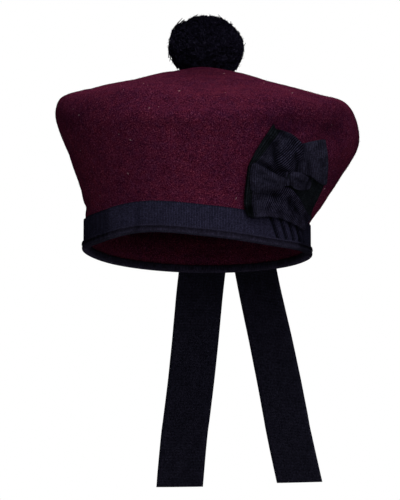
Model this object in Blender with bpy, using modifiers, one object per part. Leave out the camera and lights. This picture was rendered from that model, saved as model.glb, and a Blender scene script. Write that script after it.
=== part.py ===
"""Balmoral bonnet: a soft felt body with a ribbon headband, a bound lower edge, a ribbon
cockade on the wearer's left, a woollen toorie on top and two ribbon tails at the back.

Metres, +Z up. The brow is towards -Y and the wearer's left is +X. The origin is the centre
of the head opening, level with the lower edge at the brow. Bearings are degrees round +Z,
from +X towards +Y, so the brow is at 270 and the nape at 90.
"""
import math
import random
from collections import namedtuple
from functools import lru_cache

import bmesh
import bpy
from mathutils import Vector

# Head opening: the inside of the felt collar
HEAD_HALF_WIDTH = 0.0865
HEAD_HALF_LENGTH = 0.0980

# Walls, and the gap between pieces that touch
FELT_WALL = 0.0020
BAND_WALL = 0.0013
BINDING_WALL = 0.0009
RIBBON_WALL = 0.0010
CLEARANCE = 0.0003

# Headband and the strip round its lower edge
BAND_HEIGHT = 0.0243
BINDING_HEIGHT = 0.0060
PLEAT_COUNT = 4
PLEAT_BEARING = 337.6
PLEAT_PITCH = 6.4
PLEAT_LEAN = 7.5
PLEAT_CREST = 0.7
PLEAT_DEPTH = 0.0018

# Felt body above the band
CROWN_RISE = 0.1277
CROWN_OVERHANG = 0.0400
CROWN_TOP_SHIFT = Vector((0.0066, 0.0018, 0.0))
SHIFT_START = 0.5
FOLD_DEPTH = 0.0060
DIMPLE_DEPTH = 0.0110
DIMPLE_RADIUS = 0.0220

# Ribbon cockade on the wearer's left: its pinch lies on the wall at this place
COCKADE_BEARING = 324.2
COCKADE_HEIGHT = 0.0432
COCKADE_HALF_WIDTH = 0.0410
COCKADE_LIFT = 0.0060
COCKADE_TILT = math.radians(26)
COCKADE_SPARE = 0.0003
BOW_HALF_LENGTH = 0.0330
BOW_HALF_HEIGHT = 0.0095
BOW_LOOP = 0.0080

# Toorie of wool, seated in the dimple
TOORIE_WIDTH = 0.0595
TOORIE_HEIGHT = 0.0500
TOORIE_SEAT = 0.0010
TOORIE_CORE = 0.78
TOORIE_LOCK_TIP = 0.62
TOORIE_LOCK_SHORT = 0.90
TOORIE_LOCK_LONG = 1.03
TOORIE_LOCK_SWAY = 0.05
TOORIE_SPARE = 0.0003

# Ribbon tails sewn outside the band at the nape
TAIL_WIDTH = 0.0400
TAIL_LENGTH = 0.2030
TAIL_GAP = 0.0010
TAIL_STANDOFF = 0.0070
TAIL_FLAT = 0.06

# Colours, linear, and how matt each cloth is
FELT_MAROON = (0.045, 0.006, 0.015)
RIBBON_BLACK = (0.010, 0.010, 0.016)
WOOL_BLACK = (0.006, 0.006, 0.011)
CLOTH_ROUGHNESS = 0.95
RIBBON_ROUGHNESS = 0.65

# Height of the lower edge, as a share of the band height
Edge = namedtuple("Edge", "bearing height")
EDGE = [
    Edge(15, -0.16),
    Edge(60, -0.14),
    Edge(105, -0.12),
    Edge(150, -0.08),
    Edge(195, -0.03),
    Edge(230, -0.10),
    Edge(262, 0.00),
    Edge(290, -0.18),
    Edge(325, -0.30),
    Edge(350, -0.23),
]

# Sections of the felt body: reaches past the collar as shares of the overhang, heights
# above the band as shares of the rise
CrownSection = namedtuple(
    "CrownSection", "bearing low mid mid_height rim rim_height shoulder shoulder_height "
    "brink_height shelf_height")
CROWN_SECTIONS = [
    CrownSection(15, 0.32, 0.64, 0.28, 1.03, 0.53, 0.77, 0.730, 0.775, 0.860),
    CrownSection(60, 0.26, 0.63, 0.28, 0.93, 0.48, 0.71, 0.655, 0.725, 0.850),
    CrownSection(105, 0.25, 0.62, 0.28, 0.92, 0.44, 0.70, 0.610, 0.685, 0.835),
    CrownSection(150, 0.27, 0.55, 0.28, 0.87, 0.52, 0.65, 0.690, 0.745, 0.850),
    CrownSection(195, 0.06, 0.41, 0.48, 0.63, 0.695, 0.57, 0.760, 0.808, 0.885),
    CrownSection(240, 0.10, 0.31, 0.28, 0.63, 0.56, 0.38, 0.685, 0.745, 0.828),
    CrownSection(285, 0.20, 0.47, 0.28, 0.72, 0.46, 0.45, 0.595, 0.655, 0.796),
    CrownSection(330, 0.37, 0.70, 0.28, 1.00, 0.475, 0.76, 0.640, 0.705, 0.825),
]
LOW_HEIGHT = 0.125
BRINK_REACH = 0.86
SHELF_REACH = 0.54

# Folds of the felt: place and size in bearing and in the share of the way from the band to
# the top, depth as a share of the fold depth, lean in degrees over the whole way
Fold = namedtuple("Fold", "name bearing station spread span depth lean")
FOLDS = [
    Fold("hollow_before_toorie", 288, 0.61, 20, 0.060, -0.40, 0),
    Fold("arch_ridge", 291, 0.420, 12, 0.032, 0.25, 0),
    Fold("rim_over_cockade", 321, 0.394, 12, 0.034, 0.85, 0),
    Fold("rim_before_cockade", 308, 0.364, 9, 0.036, 0.72, 0),
    Fold("hollow_over_cockade", 321, 0.335, 17, 0.040, -0.80, 0),
    Fold("slack_by_cockade", 321, 0.270, 17, 0.080, -0.30, 0),
    Fold("side_rim", 345, 0.425, 8, 0.035, 0.35, 0),
    Fold("side_valley", 343, 0.328, 9, 0.050, -1.05, 20),
    Fold("side_bulge", 346, 0.250, 9, 0.045, 0.35, 0),
    Fold("brow_dent", 279, 0.27, 8, 0.060, -0.35, 30),
    Fold("collar_crease", 195, 0.045, 22, 0.020, -0.30, 0),
    Fold("right_bump", 213, 0.545, 7, 0.030, 0.18, 0),
]

# Outline of the cockade's folded ribbon round its pinch: angle in degrees from the wearer's
# rear towards up, reach and lift off the wall as shares of the half width and the lift
Petal = namedtuple("Petal", "angle reach lift")
PETALS = [
    Petal(2, 1.15, 0.75),
    Petal(20, 0.99, 0.50),
    Petal(32, 0.87, 0.35),
    Petal(45, 0.83, 0.40),
    Petal(58, 0.89, 0.50),
    Petal(72, 0.72, 0.35),
    Petal(87, 0.61, 0.10),
    Petal(100, 0.70, 0.40),
    Petal(112, 0.83, 0.55),
    Petal(123, 1.05, 0.20),
    Petal(136, 0.93, 0.55),
    Petal(155, 0.89, 0.40),
    Petal(173, 0.88, 0.10),
    Petal(196, 0.88, 0.25),
    Petal(212, 0.94, 0.45),
    Petal(226, 1.02, 0.50),
    Petal(240, 0.85, 0.35),
    Petal(265, 0.71, 0.20),
    Petal(290, 0.76, 0.30),
    Petal(312, 1.00, 0.60),
    Petal(325, 1.28, 0.95),
    Petal(340, 1.22, 1.00),
    Petal(352, 1.14, 0.90),
]

# The bow's ribbon, once round through both loops: place along the half length, height of
# its middle and its half height as shares of the half height, depth as a share of the loop
BowTurn = namedtuple("BowTurn", "along middle half depth")
BOW = [
    BowTurn(0.00, -0.45, 0.50, 0.55),
    BowTurn(-0.30, -0.38, 0.72, 0.80),
    BowTurn(-0.62, -0.24, 0.92, 0.95),
    BowTurn(-0.86, -0.12, 1.02, 0.80),
    BowTurn(-0.95, -0.10, 1.04, 0.45),
    BowTurn(-0.84, -0.10, 1.02, 0.10),
    BowTurn(-0.50, -0.25, 0.85, 0.00),
    BowTurn(0.00, -0.45, 0.50, 0.00),
    BowTurn(0.45, -0.30, 0.62, 0.00),
    BowTurn(0.78, -0.15, 0.75, 0.12),
    BowTurn(0.90, -0.10, 0.78, 0.60),
    BowTurn(0.82, -0.10, 0.76, 1.05),
    BowTurn(0.56, -0.18, 0.70, 1.15),
    BowTurn(0.28, -0.32, 0.60, 0.90),
]

# Ribbon tails: which side of the nape, and how far they lean outwards
Tail = namedtuple("Tail", "name side lean")
TAILS = [
    Tail("tail_left", 1, math.radians(10.7)),
    Tail("tail_right", -1, math.radians(7.0)),
]

# How a tail stands off the nape down its length, as a share of the stand-off, and how much
# of the band's curve it keeps across its width
TailRow = namedtuple("TailRow", "length standoff curve")
TAIL_ROWS = [
    TailRow(0.00, 0.00, 1.00),
    TailRow(0.06, 0.02, 1.00),
    TailRow(0.10, 0.17, 1.00),
    TailRow(0.16, 0.20, 0.98),
    TailRow(0.28, 0.45, 0.85),
    TailRow(0.42, 0.85, 0.70),
    TailRow(0.58, 1.05, 0.60),
    TailRow(0.72, 1.00, 0.55),
    TailRow(0.77, 0.90, 0.55),
    TailRow(0.82, 0.98, 0.50),
    TailRow(0.91, 1.25, 0.45),
    TailRow(1.00, 1.60, 0.40),
]

# Mesh fineness, and the small steps that find slopes and heights on the felt
SEGMENTS = 60
CROWN_ROWS = 20
BAND_ROWS = 4
CURVE_STEPS = 10
SEAT_ROWS = 10
BAND_MARGIN = 0.003
PLEAT_STEPS = 5
PLEAT_MARGIN = 1.0
PETAL_COUNT = 60
PETAL_START = 3.0
PETAL_ROWS = 4
BOW_STEPS = 2
BOW_ROWS = 4
TAIL_COLUMNS = 5
SLOPE_TURN = 0.5
SLOPE_STEP = 0.005
TOP_STEP = 0.01
SHARP_ANGLE = math.radians(40)


def direction(bearing):
    """Level unit vector at a bearing."""
    angle = math.radians(bearing)
    return Vector((math.cos(angle), math.sin(angle), 0.0))


def hermite(start, end, start_slope, end_slope, share):
    """Cubic between two values with the given slopes at its ends."""
    square = share * share
    cube = square * share
    return (start * (2 * cube - 3 * square + 1) + start_slope * (cube - 2 * square + share)
            + end * (3 * square - 2 * cube) + end_slope * (cube - square))


def slope_at(before, here, after, step_before, step_after):
    """Slope of the smooth curve at a point, from its two neighbours."""
    rise = (here - before) * (step_after / step_before)
    rise += (after - here) * (step_before / step_after)
    return rise / (step_before + step_after)


def around(rows, column, angle):
    """Value of a table's column on a smooth closed curve; its first column is the angle."""
    count = len(rows)
    angle = (angle - rows[0][0]) % 360 + rows[0][0]
    index = max(number for number, row in enumerate(rows) if row[0] <= angle)
    knots = []
    for number in range(index - 1, index + 3):
        row = rows[number % count]
        knots.append((row[0] + 360 * (number // count), getattr(row, column)))
    (a0, v0), (a1, v1), (a2, v2), (a3, v3) = knots
    gap = a2 - a1
    slope_1 = slope_at(v0, v1, v2, a1 - a0, gap) * gap
    slope_2 = slope_at(v1, v2, v3, gap, a3 - a2) * gap
    return hermite(v1, v2, slope_1, slope_2, (angle - a1) / gap)


def smooth_curve(points, steps):
    """Dense points of a smooth curve through the inner points; the two ends only steer it."""
    dense = []
    for p0, p1, p2, p3 in zip(points, points[1:], points[2:], points[3:]):
        gap = (p2 - p1).length
        slope_1 = slope_at(p0, p1, p2, (p1 - p0).length, gap) * gap
        slope_2 = slope_at(p1, p2, p3, gap, (p3 - p2).length) * gap
        dense += [hermite(p1, p2, slope_1, slope_2, step / steps) for step in range(steps)]
    dense.append(points[-2])
    return dense


def ellipse_reach(extra, bearing):
    """Distance from the axis to the head opening's ellipse, grown by extra all round."""
    angle = math.radians(bearing)
    across = math.cos(angle) / (HEAD_HALF_WIDTH + extra)
    along = math.sin(angle) / (HEAD_HALF_LENGTH + extra)
    return 1.0 / math.hypot(across, along)


def edge_height(bearing):
    """Height of the bonnet's lower edge."""
    return around(EDGE, "height", bearing) * BAND_HEIGHT


def cloth_edge(bearing):
    """Height of the lower edge of felt and band, inside the binding's fold."""
    return edge_height(bearing) + BINDING_WALL + CLEARANCE


def band_top(bearing):
    """Height of the band's upper edge."""
    return edge_height(bearing) + BAND_HEIGHT


@lru_cache(maxsize=None)
def crown_section(bearing):
    """Dense points (reach, height) of the felt's outside from the band to the top."""
    collar = ellipse_reach(FELT_WALL, bearing)
    start = band_top(bearing) + CLEARANCE

    def point(reach_share, height_share):
        reach = collar + reach_share * CROWN_OVERHANG
        return Vector((reach, BAND_HEIGHT + height_share * CROWN_RISE))

    def value(column):
        return around(CROWN_SECTIONS, column, bearing)

    shoulder = point(value("shoulder"), value("shoulder_height"))
    brink = Vector((BRINK_REACH * shoulder.x, BAND_HEIGHT + value("brink_height") * CROWN_RISE))
    shelf = Vector((SHELF_REACH * shoulder.x, BAND_HEIGHT + value("shelf_height") * CROWN_RISE))
    return smooth_curve([
        Vector((collar, start - LOW_HEIGHT * CROWN_RISE)),
        Vector((collar, start)),
        point(value("low"), LOW_HEIGHT),
        point(value("mid"), value("mid_height")),
        point(value("rim"), value("rim_height")),
        shoulder,
        brink,
        shelf,
        Vector((0.0, BAND_HEIGHT + CROWN_RISE)),
        Vector((-shelf.x, shelf.y)),
    ], CURVE_STEPS)


@lru_cache(maxsize=None)
def crown_lengths(bearing):
    """Distance along the section from the band to each of its dense points."""
    points = crown_section(bearing)
    lengths = [0.0]
    for first, second in zip(points, points[1:]):
        lengths.append(lengths[-1] + (second - first).length)
    return lengths


def plain_crown_point(bearing, station):
    """Point of the unfolded felt, at a share of the way from the band to the top."""
    points = crown_section(bearing % 360)
    lengths = crown_lengths(bearing % 360)
    wanted = min(max(station, 0.0), 1.0) * lengths[-1]
    index = 0
    while index < len(points) - 2 and lengths[index + 1] < wanted:
        index += 1
    share = (wanted - lengths[index]) / (lengths[index + 1] - lengths[index])
    reach, height = points[index].lerp(points[index + 1], share)
    sideways = max(station - SHIFT_START, 0.0) / (1 - SHIFT_START)
    point = direction(bearing) * reach + CROWN_TOP_SHIFT * sideways * sideways
    point.z = height
    return point


def bell(offset, width):
    """Smooth bump of height 1 and the given half width."""
    return math.exp(-(offset / width) ** 2)


def fold_height(bearing, station):
    """How far the folds move the felt outwards."""
    total = 0.0
    for fold in FOLDS:
        centre = fold.bearing + fold.lean * (station - fold.station)
        aside = (bearing - centre + 180) % 360 - 180
        total += fold.depth * bell(aside, fold.spread) * bell(station - fold.station, fold.span)
    return total * FOLD_DEPTH


def crown_point(bearing, station):
    """Point of the felt's outside, with its folds and the dimple under the toorie."""
    point = plain_crown_point(bearing, station)
    if 0.0 < station < 1.0:
        along = plain_crown_point(bearing, station + SLOPE_STEP)
        along -= plain_crown_point(bearing, station - SLOPE_STEP)
        across = plain_crown_point(bearing + SLOPE_TURN, station)
        across -= plain_crown_point(bearing - SLOPE_TURN, station)
        point += across.cross(along).normalized() * fold_height(bearing, station)
    off_top = math.hypot(point.x - CROWN_TOP_SHIFT.x, point.y - CROWN_TOP_SHIFT.y)
    point.z -= DIMPLE_DEPTH * bell(off_top, DIMPLE_RADIUS)
    return point


def pleat_height(bearing, height):
    """How far the slanted pleats under the cockade stand out from the band."""
    rise = height - edge_height(bearing)
    middle = BAND_HEIGHT / 2
    place = (bearing - PLEAT_BEARING - PLEAT_LEAN * (middle - rise) / BAND_HEIGHT) / PLEAT_PITCH
    place += PLEAT_COUNT / 2
    if not 0.0 < place < PLEAT_COUNT or rise <= BINDING_HEIGHT:
        return 0.0
    share = place % 1.0
    fade = min((rise - BINDING_HEIGHT) / (BAND_HEIGHT / BAND_ROWS), 1.0)
    if share < PLEAT_CREST:
        return PLEAT_DEPTH * fade * math.sin(math.pi / 2 * share / PLEAT_CREST)
    return PLEAT_DEPTH * fade * math.cos(math.pi / 2 * (share - PLEAT_CREST) / (1 - PLEAT_CREST))


@lru_cache(maxsize=None)
def felt_profile(segment):
    """Points (height, reach) of one of the crown's meridians from the band up to the rim."""
    profile = []
    for row in range(SEAT_ROWS + 1):
        point = crown_point(360 * segment / SEGMENTS, row / CROWN_ROWS)
        if not profile or point.z > profile[-1][0]:
            profile.append((point.z, math.hypot(point.x, point.y)))
    return profile


def felt_reach(segment, height):
    """Reach of one of the crown's meridians at a height below the rim."""
    profile = felt_profile(segment % SEGMENTS)
    for (low, near), (high, far) in zip(profile, profile[1:]):
        if low <= height <= high:
            return near + (far - near) * (height - low) / (high - low)
    return profile[0][1] if height < profile[0][0] else profile[-1][1]


def seat_reach(bearing, height):
    """Reach of the outermost cloth, felt or pleated band, at a height below the rim."""
    segment = math.floor(bearing * SEGMENTS / 360)
    turn = math.radians(bearing - 360 * segment / SEGMENTS)
    whole = 2 * math.pi / SEGMENTS
    first = felt_reach(segment, height)
    second = felt_reach(segment + 1, height)
    reach = first * second * math.sin(whole)
    reach /= first * math.sin(turn) + second * math.sin(whole - turn)
    if height < band_top(bearing) + BAND_MARGIN:
        band = FELT_WALL + CLEARANCE + BAND_WALL + PLEAT_DEPTH
        reach = max(reach, ellipse_reach(band, bearing))
    return reach


def on_wall(across, up, out):
    """Point on the cockade's seat: across towards the rear, up, and out from the wall."""
    wall = ellipse_reach(CROWN_OVERHANG / 2, COCKADE_BEARING)
    bearing = COCKADE_BEARING + math.degrees(across / wall)
    height = COCKADE_HEIGHT + up
    level = direction(bearing)
    reach = seat_reach(bearing, height) + CLEARANCE + COCKADE_SPARE
    point = level * (reach + out * math.cos(COCKADE_TILT))
    point.z = height - out * math.sin(COCKADE_TILT)
    return point


def petal_lift(across, up):
    """How far the folded ribbon fan stands off its seat."""
    angle = math.degrees(math.atan2(up, across))
    edge = around(PETALS, "reach", angle) * COCKADE_HALF_WIDTH
    share = min(math.hypot(across, up) / edge, 1.0)
    return around(PETALS, "lift", angle) * COCKADE_LIFT * share


def new_object(name, bm, material):
    """Put a finished mesh into the bonnet's collection."""
    bmesh.ops.recalc_face_normals(bm, faces=bm.faces)
    mesh = bpy.data.meshes.new(name)
    bm.to_mesh(mesh)
    bm.free()
    mesh.materials.append(material)
    mesh.shade_smooth()
    mesh.set_sharp_from_angle(angle=SHARP_ANGLE)
    piece = bpy.data.objects.new(name, mesh)
    bonnet.objects.link(piece)
    return piece


def solidify(piece, wall, offset):
    """Give an open sheet its wall, outwards for an offset of 1 and inwards for -1."""
    modifier = piece.modifiers.new("Wall", "SOLIDIFY")
    modifier.thickness = wall
    modifier.offset = offset
    modifier.use_even_offset = True


def loft(bm, rows, closed_across=True, closed_along=False):
    """Quads between rows of points, each row closed round the head or open."""
    grid = [[bm.verts.new(point) for point in row] for row in rows]
    below = grid if closed_along else grid[:-1]
    above = grid[1:] + grid[:1] if closed_along else grid[1:]
    for low, high in zip(below, above):
        count = len(low)
        for index in range(count if closed_across else count - 1):
            after = (index + 1) % count
            bm.faces.new((low[index], low[after], high[after], high[index]))
    return grid


def material(name, colour, roughness):
    """Plain surface of one colour."""
    surface = bpy.data.materials.new(name)
    surface.use_nodes = True
    shader = surface.node_tree.nodes["Principled BSDF"]
    shader.inputs["Base Color"].default_value = (*colour, 1.0)
    shader.inputs["Roughness"].default_value = roughness
    shader.inputs["Metallic"].default_value = 0.0
    return surface


def build_crown(felt):
    """Felt shell, from the lower edge behind the band to the top."""
    bearings = [360 * index / SEGMENTS for index in range(SEGMENTS)]
    collar = [ellipse_reach(FELT_WALL, bearing) for bearing in bearings]
    hem = [direction(b) * reach + Vector((0, 0, cloth_edge(b)))
           for b, reach in zip(bearings, collar)]
    rows = [hem]
    for row in range(CROWN_ROWS):
        rows.append([crown_point(bearing, row / CROWN_ROWS) for bearing in bearings])
    bm = bmesh.new()
    grid = loft(bm, rows)
    top = bm.verts.new(crown_point(0, 1.0))
    for first, second in zip(grid[-1], grid[-1][1:] + grid[-1][:1]):
        bm.faces.new((first, second, top))
    crown = new_object("crown", bm, felt)
    solidify(crown, FELT_WALL, -1)
    return crown


def band_bearings():
    """The crown's bearings, with finer steps over the pleats."""
    half = PLEAT_COUNT * PLEAT_PITCH / 2 + abs(PLEAT_LEAN) / 2
    first = PLEAT_BEARING - half
    last = PLEAT_BEARING + half
    fine = int(2 * half / (PLEAT_PITCH / PLEAT_STEPS))
    bearings = [360 * index / SEGMENTS for index in range(SEGMENTS)]
    kept = [bearing for bearing in bearings
            if not first - PLEAT_MARGIN < bearing < last + PLEAT_MARGIN]
    return sorted(kept + [first + 2 * half * index / fine for index in range(fine + 1)])


def build_band(ribbon):
    """Headband: a ring of ribbon round the collar, pleated on its outside."""
    inside = FELT_WALL + CLEARANCE
    sections = []
    for bearing in band_bearings():
        low = cloth_edge(bearing)
        high = band_top(bearing)
        foot = edge_height(bearing) + BINDING_HEIGHT
        heights = [low] + [foot + (high - foot) * row / BAND_ROWS for row in range(BAND_ROWS + 1)]
        outer = ellipse_reach(inside + BAND_WALL, bearing)
        inner = ellipse_reach(inside, bearing)
        points = []
        for height in heights:
            reach = outer + pleat_height(bearing, height)
            points.append(direction(bearing) * reach + Vector((0, 0, height)))
        points.append(direction(bearing) * inner + Vector((0, 0, high)))
        points.append(direction(bearing) * inner + Vector((0, 0, low)))
        sections.append(points)
    bm = bmesh.new()
    loft(bm, sections, closed_across=True, closed_along=True)
    return new_object("band", bm, ribbon)


def build_binding(ribbon):
    """Strip folded round the lower edge of felt and band."""
    outside = FELT_WALL + CLEARANCE + BAND_WALL + CLEARANCE
    sections = []
    for index in range(SEGMENTS):
        bearing = 360 * index / SEGMENTS
        foot = edge_height(bearing)
        fold = foot + BINDING_WALL
        top = foot + BINDING_HEIGHT
        profile = [
            (outside + BINDING_WALL, top),
            (outside + BINDING_WALL, foot),
            (-CLEARANCE - BINDING_WALL, foot),
            (-CLEARANCE - BINDING_WALL, top),
            (-CLEARANCE, top),
            (-CLEARANCE, fold),
            (outside, fold),
            (outside, top),
        ]
        sections.append([direction(bearing) * ellipse_reach(extra, bearing)
                         + Vector((0, 0, height)) for extra, height in profile])
    bm = bmesh.new()
    loft(bm, sections, closed_across=True, closed_along=True)
    return new_object("edge_binding", bm, ribbon)


def build_cockade_back(ribbon):
    """Folded ribbon fan that lies on the wall, in radial petals round the pinch."""
    rows = []
    for row in range(1, PETAL_ROWS + 1):
        share = row / PETAL_ROWS
        points = []
        for index in range(PETAL_COUNT):
            angle = PETAL_START + 360 * index / PETAL_COUNT
            reach = around(PETALS, "reach", angle) * COCKADE_HALF_WIDTH * share
            across = reach * math.cos(math.radians(angle))
            up = reach * math.sin(math.radians(angle))
            points.append(on_wall(across, up, petal_lift(across, up)))
        rows.append(points)
    bm = bmesh.new()
    grid = loft(bm, rows)
    pinch = bm.verts.new(on_wall(0.0, 0.0, 0.0))
    for first, second in zip(grid[0], grid[0][1:] + grid[0][:1]):
        bm.faces.new((second, first, pinch))
    fan = new_object("cockade_back", bm, ribbon)
    solidify(fan, RIBBON_WALL, 1)
    return fan


def build_cockade_bow(ribbon):
    """Bow of one ribbon, looped to both sides and pinched in the middle."""
    turns = BOW[-1:] + BOW + BOW[:2]
    path = smooth_curve([Vector(turn) for turn in turns], BOW_STEPS)[:-1]
    rows = []
    for along, middle, half, depth in path:
        across = along * BOW_HALF_LENGTH
        points = []
        for row in range(BOW_ROWS + 1):
            side = 2 * row / BOW_ROWS - 1
            up = (middle + side * half) * BOW_HALF_HEIGHT
            out = petal_lift(across, up) + RIBBON_WALL + 2 * COCKADE_SPARE
            points.append(on_wall(across, up, out + depth * BOW_LOOP))
        rows.append(points)
    bm = bmesh.new()
    loft(bm, rows, closed_across=False, closed_along=True)
    bow = new_object("cockade_bow", bm, ribbon)
    solidify(bow, RIBBON_WALL, -1)
    return bow


def top_height(x, y):
    """Height of the felt under the toorie."""
    off_top = math.hypot(x - CROWN_TOP_SHIFT.x, y - CROWN_TOP_SHIFT.y)
    bearing = math.degrees(math.atan2(y - CROWN_TOP_SHIFT.y, x - CROWN_TOP_SHIFT.x))
    station = 1.0
    while station > SHIFT_START:
        point = crown_point(bearing, station) - CROWN_TOP_SHIFT
        if math.hypot(point.x, point.y) >= off_top:
            break
        station -= TOP_STEP
    return point.z


def build_toorie(wool):
    """Ball of wool whose locks stand on a core, fused into one body."""
    half = Vector((TOORIE_WIDTH / 2, TOORIE_WIDTH / 2, TOORIE_HEIGHT / 2))
    seat = BAND_HEIGHT + CROWN_RISE - DIMPLE_DEPTH - TOORIE_SEAT + CLEARANCE
    centre = CROWN_TOP_SHIFT + Vector((0, 0, seat + half.z))
    ball = bmesh.new()
    bmesh.ops.create_icosphere(ball, subdivisions=3, radius=1.0)
    draw = random.Random(7)
    bm = bmesh.new()
    shared = {}

    def core_point(face):
        if face.index not in shared:
            spot = face.calc_center_median().normalized() * TOORIE_CORE
            shared[face.index] = bm.verts.new(spot)
        return shared[face.index]

    for root in ball.verts:
        away = root.co.normalized()
        side = away.orthogonal().normalized()
        other = away.cross(side)
        faces = sorted(root.link_faces, key=lambda face: math.atan2(
            face.calc_center_median().dot(other), face.calc_center_median().dot(side)))
        foot = [core_point(face) for face in faces]
        length = draw.uniform(TOORIE_LOCK_SHORT, TOORIE_LOCK_LONG)
        sway = Vector([draw.uniform(-TOORIE_LOCK_SWAY, TOORIE_LOCK_SWAY) for axis in range(3)])
        middle = away * length + sway
        tip = [bm.verts.new(middle + (point.co / TOORIE_CORE * length - away * length)
                            * TOORIE_LOCK_TIP) for point in foot]
        for index in range(len(foot)):
            after = (index + 1) % len(foot)
            bm.faces.new((foot[index], foot[after], tip[after], tip[index]))
        bm.faces.new(tip)
    ball.free()
    for vert in bm.verts:
        spot = Vector([vert.co[axis] * half[axis] for axis in range(3)]) + centre
        floor = top_height(spot.x, spot.y) + CLEARANCE + TOORIE_SPARE
        spot.z = max(spot.z, floor)
        vert.co = spot
    return new_object("toorie", bm, wool)


def build_tail(tail, ribbon):
    """One ribbon that hangs from the outside of the band at the nape."""
    top = band_top(90) - 2 * CLEARANCE
    outside = FELT_WALL + CLEARANCE + BAND_WALL + CLEARANCE
    nape = HEAD_HALF_LENGTH + outside
    rows = []
    for row in TAIL_ROWS:
        drop = row.length * TAIL_LENGTH * math.cos(tail.lean)
        points = []
        for column in range(TAIL_COLUMNS + 1):
            across = TAIL_GAP / 2 + TAIL_WIDTH * column / TAIL_COLUMNS
            bearing = 90 - math.degrees(across / nape)
            spot = direction(bearing) * ellipse_reach(outside, bearing)
            flat = Vector((across, nape - TAIL_WIDTH * TAIL_FLAT, 0))
            spot = flat.lerp(spot, row.curve)
            spot.x += drop * math.tan(tail.lean)
            spot.y += row.standoff * TAIL_STANDOFF
            spot.x *= tail.side
            spot.z = top - drop
            points.append(spot)
        rows.append(points if tail.side > 0 else points[::-1])
    bm = bmesh.new()
    loft(bm, rows, closed_across=False)
    piece = new_object(tail.name, bm, ribbon)
    solidify(piece, RIBBON_WALL, 1)
    return piece


for thing in list(bpy.data.objects):
    bpy.data.objects.remove(thing, do_unlink=True)
bonnet = bpy.data.collections.new("balmoral_bonnet")
bpy.context.scene.collection.children.link(bonnet)
felt_surface = material("maroon_felt", FELT_MAROON, CLOTH_ROUGHNESS)
ribbon_surface = material("black_ribbon", RIBBON_BLACK, RIBBON_ROUGHNESS)
wool_surface = material("black_wool", WOOL_BLACK, CLOTH_ROUGHNESS)
build_crown(felt_surface)
build_band(ribbon_surface)
build_binding(ribbon_surface)
build_cockade_back(ribbon_surface)
build_cockade_bow(ribbon_surface)
build_toorie(wool_surface)
for tail in TAILS:
    build_tail(tail, ribbon_surface)
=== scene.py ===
import math
from collections import namedtuple

import bpy
import numpy as np
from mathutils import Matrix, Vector, noise
from mathutils.bvhtree import BVHTree


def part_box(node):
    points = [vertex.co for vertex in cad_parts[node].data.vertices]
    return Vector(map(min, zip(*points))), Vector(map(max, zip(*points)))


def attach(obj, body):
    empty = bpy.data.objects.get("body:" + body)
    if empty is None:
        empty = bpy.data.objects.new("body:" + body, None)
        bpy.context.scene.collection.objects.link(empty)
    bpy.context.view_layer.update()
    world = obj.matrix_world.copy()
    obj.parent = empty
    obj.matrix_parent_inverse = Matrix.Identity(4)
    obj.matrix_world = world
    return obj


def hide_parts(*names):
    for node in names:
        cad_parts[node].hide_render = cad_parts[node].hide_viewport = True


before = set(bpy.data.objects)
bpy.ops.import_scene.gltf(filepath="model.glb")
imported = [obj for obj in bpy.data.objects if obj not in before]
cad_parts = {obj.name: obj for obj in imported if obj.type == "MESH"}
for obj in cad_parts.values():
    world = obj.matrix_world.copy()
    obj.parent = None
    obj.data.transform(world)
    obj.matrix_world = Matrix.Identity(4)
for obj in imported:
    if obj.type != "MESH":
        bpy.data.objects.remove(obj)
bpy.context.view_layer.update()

MM = 0.001
UP = Vector((0.0, 0.0, 1.0))
DOWN = Vector((0.0, 0.0, -1.0))
TINY = 1e-12
STEEP = 0.9


def table(columns, *rows):
    """Rows of a table with named columns; those that a row leaves out at its end are 0."""
    row_type = namedtuple("Row", columns, defaults=[0] * len(columns.split()))
    return [row_type(*row) for row in rows]


# Walls and gaps
FELT_WALL = 2.0 * MM
BAND_WALL = 1.3 * MM
BINDING_WALL = 0.9 * MM
RIBBON_WALL = 0.7 * MM
CLEARANCE = 0.3 * MM
BAND_OUTSIDE = FELT_WALL + CLEARANCE + BAND_WALL
BINDING_INSIDE = BAND_OUTSIDE + CLEARANCE
BINDING_OUTSIDE = BINDING_INSIDE + BINDING_WALL

# Head opening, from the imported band
HEAD_HALF_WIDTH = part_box("band")[1].x - BAND_OUTSIDE
HEAD_HALF_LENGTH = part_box("band")[1].y - BAND_OUTSIDE
FINE_BEARINGS = 7201

# Ribs of all ribbons: points to a rib, and the share of its depth at a ribbon's edges
RIB_SAMPLES = 4
BINDING_SAMPLES = 3
EDGE_RIB = 0.3

# Headband
BAND_HEIGHT = 24.3 * MM
BAND_RIB = 1.25 * MM
BAND_RIB_DEPTH = 0.25 * MM
BAND_ROWS = 11
BAND_START = 0.7
BACK_DROP = 0.1 * MM
SELVAGE = 1.0 * MM
# Painted shade on the selvage rows, where the felt's edge shades the band
SELVAGE_SHADE = 0.4
TURN_MIDDLE = 224.0
TURN_HALF = 16.5
TURN_SINK = 0.5 * MM

# Strip round the lower edge, its row of stitches and the groove under them
BINDING_HEIGHT = 6.0 * MM
BINDING_RIB = 1.0 * MM
BINDING_RIB_DEPTH = 0.14 * MM
FOLD_ANGLES = (-20, -50, -90, -130, -160)
FOLD_RIB = 0.8
# Rows on the lip of the fold that take a paler copy of the ribbon, a painted highlight
HIGHLIGHT_ROWS = (2, 3)
# Rows of the groove under the stitches, and the painted shade in it
GROOVE_ROWS = (4, 5)
GROOVE_SHADE = 0.45
STITCH_PITCH = 2.8 * MM
STITCH_HALF = 0.36
STITCH_DROP = 1.5 * MM
STITCH_RADIUS = 0.16 * MM

# Steps along half a stitch either way, and how far each lifts off the strip in millimetres
STITCH_STEPS = ((-1.0, -0.10), (-0.6, 0.10), (0.6, 0.10), (1.0, -0.10))

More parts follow.
